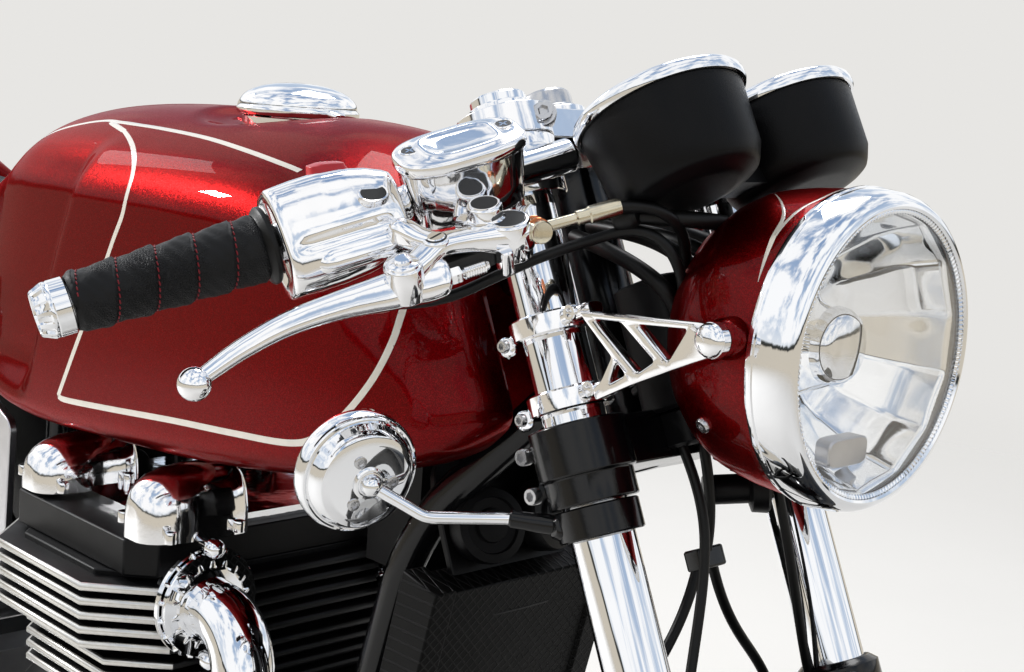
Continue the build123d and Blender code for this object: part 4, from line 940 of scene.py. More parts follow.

# Screws of the lid, bleed holes of the perch, the pivot cap, and the hose's banjo with copper washers. The
# holes, slots and recesses get dark pieces as painted shade.
bm = bmesh.new()
holes = bmesh.new()
for x, y in ((29.2, -5.7), (-31.2, -4.5)):
    spot_at = shifted(LID, x, y, 0)
    turned(holes, spot_at, [(0, -1.2), (4.6, -1.2), (5.2, 0.34), (0, 0.34)], 32)
    turned(bm, spot_at, [(5.0, 0.25), (5.6, 0.9), (6.4, 0.4), (6.4, 0.1)], 40)
    for k in range(2):
        stack(bm, spot_at @ Matrix.Rotation(k * pi / 2 + 0.4, 4, "Z"), [(3.2, 0.55, 0.5), (3.2, 0.55, 0.2)],
            6, 12)
for x, y, top, r in ((1, 30, -28, 8.3), (-8, 42, -36, 10), (54, 19, -30, 2)):
    hole = shifted(LID, x, y, top)
    turned(holes, hole, [(0, 0.12), (r - 0.4, 0.12), (r - 0.4, -1), (0, -1)], 48)
    turned(bm, hole, [(r - 0.4, -0.4), (r - 0.2, 0.5), (r + 0.4, 0.5), (r + 0.8, -0.4)], 48)
slot_screw = shifted(LID, 37.5, 41, -33.6)
turned(bm, slot_screw, [(0, -1), (5.4, -1), (5.4, 0.6), (4.8, 1.1), (0, 1.1)], 40)
turned(holes, slot_screw, [(6.4, -1), (6.4, 0.15), (5.5, 0.15), (5.5, -1)], 40, closed=True)
stack(holes, slot_screw @ Matrix.Rotation(0.3, 4, "Z"), [(4.2, 0.7, 0.6), (4.2, 0.7, 1.2)], 6, 16)
# a dark block as painted shade for the hollow below the rail, with the lever's adjuster and its spring
stack(holes, shifted(LID, 24, 44, -52), [(20, 6, -6), (20, 6, 5)], 5, 32)
adjuster = at(LID @ mm(12, 52, -55), LID.col[0].xyz, LID.col[2].xyz)
turned(bm, adjuster,
    [(0, 0), (2.6, 0)] + [(3.6 + 0.8 * (n % 2), 2 + 0.8 * n) for n in range(18)]
    + [(2.6, 17), (2.6, 26), (0, 26)], 24)
turned(bm, at(LID @ mm(30, 52, -55), LID.col[0].xyz, LID.col[2].xyz), [(0, 0), (5, 0), (5.4, 1), (5.4, 6),
    (5, 7), (0, 7)], 6)
stack(bm, shifted(LID, 2, 54, -50), [(3.6, 5.4, -12), (4, 6, -10), (4, 6, 2), (3.6, 5.4, 3)], 4, 24)
pivot_cap = shifted(LID, 62, 49, -39.4)
turned(bm, pivot_cap, [(9.6, -0.2), (9.4, 1.0), (8.6, 1.6), (5.6, 2.2), (5.4, 3.8), (4.4, 4.6), (0, 4.8)], 48)
# the dark pieces in the perch's holes, slots, recesses and hollow are painted shade
piece("master_hole_shade", holes, dark, "steering", crease=40)
cap_at_pivot = at(fork(57, -214, -86), LID.to_3x3() @ Vector((0.1, 0.3, 1)), OUTWARD)
turned(bm, cap_at_pivot, [(0, -26), (10, -26), (12.4, -24), (12.6, -2), (11.6, -0.4), (0, -0.4)], 48)
turned(bm, cap_at_pivot, [(10, -0.6), (10, 0.8), (9, 1.6), (5.4, 2.6), (5.2, 5.0), (3.8, 5.8), (0, 6.0)], 48)
piece("master_trim", bm, alloy, "steering", crease=30)

copper, _, _ = finish("copper_washer", "bright_alloy", (0.72, 0.26, 0.12), 0.24, 1.0, grain=160.0,
    bumps=[(900.0, 0.00004)])
brass, _, _ = finish("zinc_plated", "steel", (0.66, 0.60, 0.46), 0.22, 1.0, grain=120.0,
    bumps=[(600.0, 0.00004)])
banjo = at(fork(98, -146, -79), (0.84, -0.35, -0.05), U)
bm = bmesh.new()
for h in (0, 7.4):
    turned(bm, banjo, [(0, h), (7.6, h), (7.9, h + 0.6), (7.6, h + 1.2), (0, h + 1.2)], 40)
piece("copper_washers", bm, copper, "steering", crease=30)
bm = bmesh.new()
turned(bm, banjo, [(0, 1.2), (6.8, 1.2), (7, 2), (7, 6.6), (6.8, 7.4), (0, 7.4)], 40)
turned(bm, banjo, [(0, 8.6), (6.6, 8.6), (6.9, 9.2), (6.9, 14.4), (6.2, 15.2), (5.6, 14.9), (0, 14.9)], 40)
root = banjo @ mm(0, 0, 4.3)
away = fork(131, -104, -77) - root
crimp, reach = at(root, away, U), away.length / MM
turned(bm, crimp, [(0, 5), (3.6, 5), (3.4, reach - 28), (4.6, reach - 27), (4.6, reach - 20),
    (5.4, reach - 19), (5.6, reach - 6), (5.2, reach), (0, reach)], 32)
piece("banjo_and_crimp", bm, brass, "steering", crease=30)

# Levers: forged blades, broad at the pivot, with a ball end.
# steering-frame point, half height, half depth
BLADE = [(76, -199, -99, 7, 6), (74, -202, -99, 11, 8), (68, -209, -99.5, 12.4, 9), (62, -218, -100, 12, 9),
    (56, -228, -101.6, 11, 8.4), (45, -257, -105, 8.2, 6.8), (34, -287, -111, 6.8, 6),
    (22, -311, -120, 5.8, 5.4), (12, -328, -129, 5, 4.8), (9, -333, -132, 4.6, 4.4)]
bm = bmesh.new()
table, rings = [(k, *row) for k, row in enumerate(BLADE)], []
for n in range(49):
    t = (len(BLADE) - 1) * n / 48
    *spot_now, tall, deep = between(table, t)[1:]
    after, before = between(table, min(t + 0.05, len(BLADE) - 1)), between(table, max(t - 0.05, 0))
    rings.append(oval(at(fork(*spot_now), fork(*after[1:4]) - fork(*before[1:4]), U), tall, deep, 0, 2.5, 36))
lofted(bm, rings)
ball = at(fork(7, -336, -134), U, V)
turned(bm, ball, [(9.5 * cos(a), 9.5 * sin(a)) for a in [pi / 2 - pi * n / 20 for n in range(21)]], 40)
piece("lever_blades", bm, alloy, "steering", "levers", crease=50, both=True)

# Brake hoses: black rubber on soft curves, from the master to a union under the yoke
# and down to each caliper.


def pipe(name, look, body, radius, *routes, replaces=()):
    """Smooth round hoses as curves, one spline for each route of points in metres."""
    shape = bpy.data.curves.new(name, "CURVE")
    shape.dimensions, shape.use_fill_caps = "3D", True
    shape.bevel_depth, shape.bevel_resolution = radius * MM, 5
    for route in routes:
        line = shape.splines.new("NURBS")
        line.points.add(len(route) - 1)
        for spot_on, p in zip(line.points, route):
            spot_on.co = (*p, 1)
        line.order_u, line.use_endpoint_u, line.resolution_u = 4, True, 12
    made = bpy.data.objects.new(name, shape)
    bpy.context.collection.objects.link(made)
    shape.materials.append(look)
    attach(made, body)
    if replaces:
        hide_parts(*replaces)
    return made


upper = [fork(*p) for p in [(128, -106, -77), (142, -94, -78), (150, -70, -92), (120, -44, -112),
    (84, -22, -150), (74, -12, -215), (62, -6, -262), (44, -2, -286)]]
lower = [[fork(v, side * y, u) for v, y, u in [(40, 6, -290), (26, 20, -330), (8, 66, -362), (2, 86, -410),
    (-14, 85, -486), (-37, 80, -546)]] for side in (-1, 1)]
pipe("hoses", rubber, "steering", 3.6, upper, *lower, replaces=["brake_hoses"])
bm = bmesh.new()
block(bm, at(fork(40, 0, -290), U, V), 8, 13, 6, inset=1, rise=1, power=6, count=32)
piece("hose_union", bm, black_coat, "steering", crease=30, edge=0.6)

# Cables and looms: black sleeved lines sag from the controls in front of the yokes to the frame
# behind the stem. Each row is one line's points in the steering frame.
CABLES = [
    [(40, -226, -104), (51, -195, -110), (67, -168, -103), (86, -146, -96), (97, -120, -91), (110, -96, -88),
     (122, -88, -88), (136, -80, -97), (138, -70, -118), (120, -56, -148), (90, -44, -166), (48, -36, -176)],
    [(84, 128, -84), (112, 104, -96), (126, 66, -106), (96, 46, -142), (70, 42, -160), (46, 36, -176)],
    [(116, 44, -96), (108, 40, -140), (92, 40, -190), (78, 46, -240), (66, 56, -300), (44, 70, -370),
     (32, 84, -430), (38, 90, -462), (46, 92, -490)],
    [(68, -30, -208), (74, -26, -250), (66, -28, -290), (52, -44, -340), (40, -66, -396), (36, -82, -440),
     (40, -90, -466), (46, -92, -490)]]
LOOMS = [
    [(128, -84, -82), (150, -66, -92), (158, -40, -96), (150, -10, -104), (110, 6, -112), (60, 10, -110)],
    [(36, -44, -66), (70, -56, -84), (104, -58, -112), (112, -50, -134), (96, -30, -160), (70, -10, -180)],
    [(40, -30, -60), (84, -40, -78), (112, -34, -100), (116, -18, -130), (100, 0, -160), (64, 10, -190)],
    [(40, 0, -62), (90, -12, -84), (120, 0, -110), (122, 10, -140), (92, 20, -178), (60, 16, -230)],
    [(40, 30, -60), (86, 30, -84), (116, 34, -112), (116, 40, -146), (84, 40, -190), (60, 30, -240)]]
pipe("control_cables", rubber, "steering", 3.4, *[[fork(*p) for p in way] for way in CABLES])
pipe("wiring_loom", rubber, "steering", 5.2, *[[fork(*p) for p in way] for way in LOOMS])
bm = bmesh.new()
block(bm, at(fork(76, 0, -152), U, V), 26, 46, 40, inset=3, rise=2)
block(bm, at(fork(70, 0, -206), U, V), 20, 40, 10, inset=3, rise=2)
turned(bm, at(fork(62, 34, -252), Vector((0.6, 0.6, 0.1)), U), [(0, -30), (9, -30), (10, -28), (10, 0),
    (16, 2), (17, 12), (15, 14), (0, 14)], 40)
piece("connector_boxes", bm, plastic, "steering", crease=30)
root = fork(118, -92, -80)
boot = at(root, fork(131, -88, -82) - root, U)
bm = bmesh.new()
turned(bm, boot, [(0, -2), (7, -2), (8, 0), (8, 9), (7, 11), (5.4, 13), (0, 13)], 32)
piece("hose_boot", bm, rubber, "steering", crease=34)
# horns on a black plate between the down tubes, over the radiator
bm = bmesh.new()
block(bm, at(mm(368, 0, 640), (1, 0, 0.45), (0, 0, 1)), 62, 58, 2, inset=1, rise=1)
for side in (-1, 1):
    horn = at(mm(384, side * 30, 650), (1, side * 0.25, 0.35), (0, 0, 1))
    turned(bm, horn, [(0, -10), (27, -8), (28, 4), (27, 9), (21, 10), (20, 7.4), (13, 7), (12, 10), (6, 11),
        (0, 11)], 48)
piece("horns", bm, plastic, "chassis", crease=30)

# Clocks
# Two black pods with chrome bezels, domed glass, black dials and plain printed scales and needles.
dial, _, _ = finish("clock_dial", "black_plastic", (0.006, 0.006, 0.006), 0.45, grain=60.0,
    bumps=[(900.0, 0.00004)])
print_white, _, _ = finish("dial_print", "black_plastic", (0.82, 0.82, 0.8), 0.5, grain=200.0,
    bumps=[(900.0, 0.00002)])
needle_red, _, _ = finish("needle_red", "red_lens", (0.7, 0.04, 0.02), 0.4, grain=200.0,
    bumps=[(900.0, 0.00002)])
glass, _, _ = finish("lens_glass", "clear_glass", (1.0, 1.0, 1.0), 0.0, mottle=0.004, tint=0.01, grain=30.0,
    transmission_weight=1.0, ior=1.45, coat_weight=0.4)
DIAL_START, DIAL_SWEEP = 138, 276  # degrees from straight ahead to the scale's first mark, and on to its last
pods, bezels, dials, panes, print_marks, needles = [bmesh.new() for _ in range(6)]
for side in (-1, 1):
    face = at(mm(536.3, side * 57.8, 960.3), (-sin(radians(34.7)), 0, cos(radians(34.7))), (1, 0, 0))
    turned(pods, face, [(0, -62), (26, -62), (30, -61.6), (33, -60.6), (41, -58), (43.4, -56.6), (45, -54),
        (48.6, -46), (52.6, -8), (52.6, -2.4), (48, -2.4), (47.6, -4.5), (0, -4.5)], 96)
    turned(bezels, face, [(48, 0.6), (49, 2), (51, 3.1), (52.6, 3.3), (54.4, 2.6), (55.7, 1), (56.2, -1.4),
        (56.1, -4), (55.2, -6), (53.4, -6.1), (53.2, -1), (48, -1)], 96, closed=True)
    turned(dials, face, [(0, -4.4), (47.4, -4.4), (47.4, -3.8), (0, -3.8)], 64)
    turned(panes, face, [(0, 1.6), (20, 1.4), (40, 0.7), (47.9, 0), (47.9, -0.9), (40, -0.3), (20, 0.3),
        (0, 0.5)], 64)
    for n in range(41):
        a = radians(DIAL_START - DIAL_SWEEP * n / 40)
        long, wide = (8, 0.7) if n % 5 == 0 else (4, 0.35)
        tick = shifted(face @ Matrix.Rotation(a, 4, "Z"), 44 - long / 2, 0, -3.6)
        stack(print_marks, tick, [(long / 2, wide, 0), (long / 2, wide, 0.3)], 8, 8)
    hand = face @ Matrix.Rotation(radians(DIAL_START), 4, "Z")
    lofted(needles, [oval(hand, 17, 1.0, h, 4, 12, (17, 0)) for h in (-2.6, -2.0)])
    turned(pods, face, [(0, -3.6), (6, -3.6), (6, -1.4), (4.6, -0.8), (0, -0.8)], 24)
stack(pods, at(fork(140, 0, -62), U, V), [(15, 28, h) for h in (-7.8, -6.6, 6.6, 7.8)], 5, 32)
stack(pods, at(fork(108, 0, -54), U, V), [(39, 16, -3.2), (39, 16, 3.2)], 6, 32)
stack(pods, at(fork(71, 0, -26), V, U), [(27, 15, -3.2), (27, 15, 3.2)], 6, 32)
pod_black, _, _ = finish("pod_black", "black_plastic", (0.0035, 0.0035, 0.004), 0.36, grain=120.0,
    bumps=[(1700.0, 0.00012)], specular_ior_level=0.14)
piece("clock_pods", pods, pod_black, "steering", "clocks", crease=34)
piece("clock_rings", bezels, chrome, "steering", "clock_bezels", crease=34)
piece("clock_dials", dials, dial, "steering")
piece("clock_panes", panes, glass, "steering")
piece("dial_marks", print_marks, print_white, "steering")
piece("dial_needles", needles, needle_red, "steering")

# Headlamp
# A round lamp: candy-red spun shell, deep chrome rim with a serrated inner ring,
# faceted reflector and clear glass.
BEAM = at(mm(676.5, 0, 825.2), (1, 0, 0), (0, 0, 1))


def lamp_pivot(y):
    """Point on the axis of the bolts that carry the lamp."""
    return fork(179, y, -172)


bm = bmesh.new()
turned(bm, BEAM, [(91.5, -27), (95, -26.2), (95.4, -28), (95.2, -34), (94.6, -44), (93.6, -56), (91.8, -68),
    (89.6, -78), (84, -90), (75, -102), (64, -112), (50, -120.5), (34, -127.5), (17, -132.2), (0, -133.8)],
    128)
for side in (-1, 1):
    boss = at(lamp_pivot(side * 84), (0, side, 0), (0, 0, 1))
    turned(bm, boss, [(13, 2), (12.4, 12), (12, 18), (11.4, 21), (10, 22.8), (0, 22.8)], 48)
piece("lamp_bowl", bm, candy, "steering", "headlamp_shell", crease=40)
bm = bmesh.new()
turned(bm, BEAM, [(95.6, -28.2), (97.0, -27.4), (97.4, -25.6), (97.4, -18), (97.2, -12), (96.4, -6),
    (95, -2.2), (93, 0.8), (90.6, 2.6), (88.6, 2.9), (87, 2), (86.7, -2), (90, -6), (92.3, -14),
    (92.3, -25.6), (95, -25.8)], 192, closed=True)
turned(bm, BEAM, [(97.3, -24.4), (98.2, -23.6), (98.2, -22.4), (97.3, -21.6)], 128, closed=True)
piece("lamp_rim", bm, chrome, "steering", "headlamp_rim", crease=34)
bm = bmesh.new()
TEETH = 180
lofted(bm, [polar(BEAM, lambda a: radius - 0.9 * (height > 0 and round(a * TEETH * 2 / pi) % 4 in (1, 2)),
    height, TEETH * 4) for height, radius in [(-2.4, 87.4), (1.2, 87.4), (1.6, 86.4), (0.6, 84.6),
    (-1.4, 84.2)]], ends=False)
piece("lamp_toothed_ring", bm, chrome, "steering", crease=30)
bm = bmesh.new()
turned(bm, BEAM, [(0, 6.5), (20, 6.2), (40, 5.4), (56, 4.3), (70, 2.8), (80, 1.0), (86.4, -0.6), (86.6, -3),
    (86.4, -4.8), (80, -3.0), (70, -1.4), (56, 0.2), (40, 1.2), (20, 2.0), (0, 2.2)], 128)
piece("lamp_glass", bm, glass, "steering", "headlamp_lens", crease=40)
mirror_dish, _, _ = finish("faceted_reflector", "reflector", (0.93, 0.94, 0.95), 0.04, 1.0, mottle=0.02,
    tint=0.02, grain=20.0)
bm = bmesh.new()
SECTORS, DISH = 14, [(85.6, -6.5), (84, -14), (79.6, -25), (74, -36), (66.6, -46.6), (58, -56), (47.6, -65.6),
    (36, -74), (27, -78), (20, -80)]
rings = [polar(BEAM, lambda a: radius * (1 - 0.022 * abs(sin(a * SECTORS / 2)) * (k > 0)),
    height + 2.2 * (k % 3 == 1), SECTORS * 12) for k, (radius, height) in enumerate(DISH)]
rings.append(oval(BEAM, 19, 19, -83, 2, SECTORS * 12))
lofted(bm, rings, ends=False)
turned(bm, BEAM, [(20, -81), (16, -82), (0, -82)], 48)
piece("lamp_reflector", bm, mirror_dish, "steering", "headlamp_reflector", crease=24)
for made in (bpy.data.objects["lamp_reflector"], bpy.data.objects["lamp_toothed_ring"]):
    solid = made.modifiers.new("sheet", "SOLIDIFY")
    solid.thickness, solid.offset = 0.8 * MM, -1
# Cream flames on the shell, running back from the rim, and the shell's fixing screws. Places in the view.
FLAMES = [([(758, 282), (764, 262), (773, 238), (783, 218), (782, 204), (775, 194)],
    (0.4, 2.2, 3.6, 2.4, 1.4, 0.5)), ([(773, 238), (786, 222), (802, 208), (824, 197), (846, 189)],
    (3.0, 2.4, 2.2, 1.8, 0.8))]
SHELL_SCREW = (704, 425)
bowl_tree = tree_of(bpy.data.objects["lamp_bowl"])
painted("lamp_lines", bowl_tree, "steering", *[([seen(bowl_tree, *spot)[0] for spot in line], widths)
    for line, widths in FLAMES], step=0.0012)
bm = bmesh.new()
point, slope = seen(bowl_tree, *SHELL_SCREW)
for place in (at(point, slope), at(flipped(point), flipped(slope))):
    turned(bm, place, [(0, -1), (5, -1), (5, 1.4), (4.2, 2.6), (2, 2.8), (1.8, 1.6), (0, 1.6)], 32)
piece("shell_screws", bm, steel, "steering", crease=34)

# bulb shield on three struts, and the small side-light window low in the dish
bm = bmesh.new()
turned(bm, BEAM, [(0, -24), (17, -24.6), (21, -27), (23.6, -31), (24.2, -36), (23.2, -36), (22.4, -32),
    (0, -27)], 64)
for k in range(3):
    a = 2 * pi * k / 3 + pi / 3
    bar(bm, BEAM @ mm(22 * cos(a), 22 * sin(a), -33), BEAM @ mm(40 * cos(a), 40 * sin(a), -71), 1.3, 12)
turned(bm, BEAM, [(0, -81), (9, -81), (9, -58), (7, -46), (3, -42), (0, -41.6)], 32)
piece("bulb_shield", bm, chrome, "steering", crease=34)
bm = bmesh.new()
window = shifted(BEAM, -62, 0, -14)
stack(bm, window, [(9, 20, -14), (9, 20, -5), (8, 19, -4)], 5)
piece("side_light_window", bm, satin, "steering", crease=34)

# Lamp brackets
# Polished brackets milled from plate with three openings, gripping the stanchions in two split clamps.
# the plate's outline and its three openings in the steering frame: ahead, up
TRUSS = [(88, -128), (153.7, -152.4), (175, -160.2), (187, -166), (188, -177), (176, -181), (145, -180.4),
    (118, -181), (84, -183), (84, -176), (93, -172.5), (105, -161.6), (90.4, -134)]
OPENINGS = [((98.2, -136.4), (118.6, -144), (136.4, -172.8), (121.8, -176)),
    ((130.6, -148.8), (166, -161.6), (146.2, -175.6)), ((107.3, -164.8), (112.4, -174.6), (97.2, -176.4))]


def rounded(corners, radius):
    """A closed outline with each corner rounded off, as a cutter leaves it."""
    path = []
    for n, corner in enumerate(corners):
        here, before, after = (Vector(corners[k % len(corners)]) for k in (n, n - 1, n + 1))
        start = here + (before - here).normalized() * radius
        stop = here + (after - here).normalized() * radius
        path += [(1 - t) ** 2 * start + 2 * t * (1 - t) * here + t * t * stop for t in
            (0, 0.2, 0.4, 0.6, 0.8, 1)]
    return path


bm = bmesh.new()
for side in (-1, 1):
    plate, rims = bmesh.new(), []
    for corners, radius in [(TRUSS, 2.2)] + [(opening, 3) for opening in OPENINGS]:
        edge = [plate.verts.new(fork(v, side * 107.6, u)) for v, u in rounded(corners, radius)]
        rims += [plate.edges.new((edge[n - 1], edge[n])) for n in range(len(edge))]
    bmesh.ops.triangle_fill(plate, use_beauty=True, edges=rims)
    pushed = bmesh.ops.extrude_face_region(plate, geom=plate.faces[:])["geom"]
    bmesh.ops.translate(plate, verts=[v for v in pushed if isinstance(v, bmesh.types.BMVert)],
        vec=(0, side * 0.0068, 0))
    bmesh.ops.recalc_face_normals(plate, faces=plate.faces)
    sharp = [e for e in plate.edges if e.is_manifold and e.calc_face_angle(0) > 1.2]
    bmesh.ops.bevel(plate, geom=sharp, offset=0.0009, offset_type="OFFSET", affect="EDGES", segments=2,
        profile=0.5, material=-1)
    stamped = bpy.data.meshes.new("bracket_plate")
    plate.to_mesh(stamped)
    plate.free()
    bm.from_mesh(stamped)
    bpy.data.meshes.remove(stamped)
    eye = at(lamp_pivot(side * 111), (0, side, 0), V)
    collar(bm, eye, 4, 10.4, -3.8, 3.8, steps=48)
    for u in LAMP_CLAMPS:
        grip_ring = at(fork(OFFSET, side * FORK_HALF, u - 7), U, V)
        turned(bm, grip_ring, [(BORE, 0.2), (25.6, 0.2), (26.8, 1.4), (27, 7), (26.8, 12.6), (25.6, 13.8),
            (BORE, 13.8)], 72, closed=True)
        foot = at(fork(72, side * 105, u), V, U)
        stack(bm, foot, [(4.4 * k, 7.6 * k, h) for h, k in [(-8, 1), (14, 1), (20, 0.96), (22, 0.8)]],
            3.4, 28)
piece("lamp_bracket_truss", bm, alloy, "steering", "lamp_brackets", crease=34)
bm = bmesh.new()
for side in (-1, 1):
    across = Vector((0, side, 0))
    bolt = at(lamp_pivot(side * 113.6), across, V)
    turned(bm, bolt, [(0, 0), (10, 0), (10, 1.2), (9.4, 2.6), (7.8, 4.4), (5, 5.6), (0, 6)], 48)
    for u in LAMP_CLAMPS:
        screw(bm, at(fork(80, side * 110, u + 1), across, V), 5, 4.4)
        ear = at(fork(20, side * 112, u - 4.5), V * 0.75 + across * 0.6, U)
        stack(bm, ear, [(6.5, 5.5, -9), (6.5, 5.5, -1), (5.4, 4.4, 0)], 2.6, 24)
piece("bracket_bolts", bm, alloy, "steering", crease=34)

# Mirrors
# Round bar mirrors: polished stepped backs with three screws round a ball joint, on thin bent chrome stems.
GLASS_WAY = Vector((0.959, -0.214, -0.185))
mirror_glass, _, _ = finish("mirror_glass", "chrome", (0.9, 0.92, 0.94), 0.01, 1.0, mottle=0.004, tint=0.01,
    grain=12.0)
bodies, faces, screws_at = bmesh.new(), bmesh.new(), bmesh.new()
back = at(mm(449.7, -205.9, 726.6), GLASS_WAY, (0, 0, 1))
turned(bodies, back, [(0, 13.6), (12, 13.5), (24, 13), (28.6, 12.4), (30.4, 11.6), (31.6, 10.2), (33, 7),
    (34.2, 3.8), (35, 2.2), (35.8, 1.6), (36.8, 1.8), (37.8, 1.4), (38.6, 0.2), (39.2, -2.4), (39.5, -6),
    (39.3, -9), (38.4, -11.4), (37.4, -12.4), (36.8, -12.2), (36.6, -10.4), (0, -10.4)], 128)
turned(faces, back, [(0, -10.6), (36.4, -10.6), (36.4, -11.6), (0, -11.6)], 96)
turned(bodies, back, [(10.5, 12.6), (10.5, 14.6), (9.6, 15.4), (8.4, 15.6),
    (7.6, 14.8)] + [(7 * cos(a), 16.4 + 7 * sin(a)) for a in [-0.2 + 1.77 * n / 8 for n in range(9)]], 48)
for k in range(3):
    a = 2 * pi * k / 3 + 0.5
    screw(screws_at, at(back @ mm(16 * cos(a), 16 * sin(a), 13), GLASS_WAY, (0, 0, 1)), 4, 1.3)
clamps = bmesh.new()
for side in (-1, 1):
    ring = at(fork(OFFSET, side * FORK_HALF, -262), U, V)
    collar(clamps, ring, BORE, 27, 0.2, 19.8)
    root = fork(36, side * 112, -252)
    knuckle, arm = at(root, Vector((-0.3, side, 0)), U), at(root, mm(513, side * 137, 704.2) - root, U)
    turned(clamps, arm, [(0, 0), (6.4, 0), (6.2, 20), (5.6, 28), (5.6, 36.4), (4.8, 37.4), (0, 37.4)], 32)
    stack(clamps, knuckle, [(8.4, 11, -6), (8.4, 9, 3), (7.4, 7.4, 8), (6, 6, 11), (4.6, 4.6, 12)], 3, 32)
piece("mirror_backs", bodies, chrome, "steering", "mirrors", crease=24, both=True)
piece("mirror_glasses", faces, mirror_glass, "steering", crease=30, both=True)
piece("mirror_screws", screws_at, steel, "steering", crease=40, both=True)
piece("mirror_clamps", clamps, black_coat, "steering", crease=34)
stem_way = [mm(518, -129, 704), mm(510, -142, 704.4), mm(501, -160, 705), mm(493, -176, 705.6),
    mm(489, -184, 706), mm(486.5, -187, 707.5), mm(480, -193, 712.2), mm(472, -201.5, 718),
    mm(465.6, -208.6, 723)]
pipe("mirror_stems", chrome, "steering", 3.9, stem_way, [flipped(p) for p in stem_way])

# Wheels
# Chromed steel rims on stainless spokes, soft black road tyres with cut grooves, and drilled steel discs.
tyre_rubber, _, _ = finish("tyre_rubber", "tyre", (0.011, 0.011, 0.011), 0.62, grain=60.0, tint=0.3,
    bumps=[(1400.0, 0.0001), (160.0, 0.0002)])
softened(chrome, "front_rim", "rear_rim", edge=0, crease=28)
for end, x, z, outer, half, rim_half, pitch in (("front", 741, 300, 300, 60, 44, 48),
        ("rear", -674, 318, 312, 80, 64, 40)):
    bead = 218
    wheel = at(mm(x, 0, z), (0, 1, 0), (0, 0, 1))
    high = bead + 0.55 * (outer - bead)
    # how far the crown falls away towards the shoulders, as radius and place across
    crown = []
    for s in [n / 20 - 1 for n in range(41)]:
        fall = (1 - sqrt(1 - (0.86 * abs(s)) ** 2.2)) / (1 - sqrt(1 - 0.86 ** 2.2))
        crown.append((outer - (outer - high - 4) * fall, s * half))
    wall = [(high - 3, half - 0.6), (high - 8, half - 1.2), (high - 16, half - 3.4), (high - 22, half - 6),
        (bead + 20, rim_half + 6), (bead + 17.4, rim_half + 4.4), (bead + 15, rim_half - 1.5),
        (bead + 1.6, rim_half - 3.4)]
    bm = bmesh.new()
    turned(bm, wheel, [(r, -w) for r, w in reversed(wall)] + crown + wall, 480, closed=True)
    # grooves are cut into the crown: slanting ones to each side, short ones between, and front ones all round
    for v in bm.verts:
        out = Vector((v.co.x - wheel.translation.x, 0, v.co.z - wheel.translation.z))
        w = v.co.y / MM
        s = abs(w) / half
        if out.length / MM < high + 2 or s > 0.97:
            continue
        phase = (atan2(out.x, out.z) / (2 * pi) * pitch + (0 if w > 0 else 0.5) + 0.9 * s) % 1
        slanting = phase < 0.16 and 0.16 < s < 0.93
        short = 0.46 < phase < 0.58 and 0.5 < s < 0.85
        all_round = abs(abs(w) - 6) < 2.2 and end == "front"
        if slanting or short or all_round:
            v.co -= out.normalized() * 3.2 * MM
    piece(end + "_tyre_tread", bm, tyre_rubber, end + "_wheel", end + "_tyre", crease=38)

# brushed round the disc, with drilled holes cut through by the material
for name, x, z, low, high, count, body in (("front_discs", 0.741, 0.300, 0.126, 0.150, 40, "front_wheel"),
        ("rear_disc", -0.674, 0.318, 0.081, 0.105, 32, "rear_wheel")):
    drilled, drilled_skin, spot = finish("drilled_" + name, "steel", (0.5, 0.5, 0.5), 0.3, 1.0, grain=40.0)
    ahead, up = spot.part("X") - x, spot.part("Z") - z
    radius = spot.node("Math", ahead * ahead + up * up, operation="SQRT")
    turn = ahead.node("Math", up, ahead, operation="ARCTAN2") * (count / (2 * pi)) + 100.0
    row = turn.node("Math", turn, operation="FLOOR")
    side_step = row.node("Math", row, 3.0, operation="MODULO")
    offset = turn - row - 0.5
    arc = offset * radius * (2 * pi / count)
    drop = radius - (side_step * ((high - low) / 3) + (low + 0.004))
    hole = arc.node("Math", arc * arc + drop * drop, operation="SQRT")
    hole.step(0.0031, 0.0033).to(drilled_skin, "Alpha")
    radius.node("TexNoise", named={"W": radius, "Scale": 4000.0},
        noise_dimensions="1D").bump(0.00006).to(drilled_skin, "Normal")
    softened(drilled, name, edge=0.4)
softened(steel, "sprocket", edge=0.5)
softened(steel, "front_axle", "rear_axle", edge=0.8)
softened(satin, "front_calipers", edge=3.0)

# Shocks and chain
# Twin shocks: chromed springs on dark dampers between rubber eyes. The chain is a run of pinned side plates.
dampers, springs = bmesh.new(), bmesh.new()
for side in (-1, 1):
    top, foot = mm(-485, side * 158, 700), mm(-628, side * 158, 346)
    shock = at(top, foot - top, (0, 1, 0))
    full = (foot - top).length / MM
    turned(dampers, shock, [(0, 12), (14, 12), (14, 29), (22, 31), (26.6, 34), (27, 38), (27, 58), (26, 62),
        (17, 64), (17, 205), (8, 207), (8, full - 100), (24, full - 96), (26.6, full - 94), (27, full - 86),
        (25, full - 82), (21, full - 80), (21, full - 28), (12, full - 20), (12, full - 12), (0, full - 12)],
        48)
    for eye in (top, foot):
        collar(dampers, at(eye + mm(0, -13, 0), (0, 1, 0)), 9.2, 19, 0, 26, 1.5, 40)
    coils, low, high = 11.5, 65, full - 97
    rings = []
    for n in range(int(coils * 24) + 1):
        a = 2 * pi * n / 24
        centre = shock @ mm(23.2 * cos(a), 23.2 * sin(a), low + (high - low) * n / (coils * 24))
        out, axis = shock.to_3x3() @ Vector((cos(a), sin(a), 0)), shock.col[2].xyz
        rings.append([centre + (out * cos(b) + axis * sin(b)) * 3.3 * MM for b in
            [2 * pi * k / 10 for k in range(10)]])
    lofted(springs, rings)
piece("shock_dampers", dampers, black_coat, "chassis", "shocks", crease=34)
piece("shock_springs", springs, chrome, "chassis", crease=60)

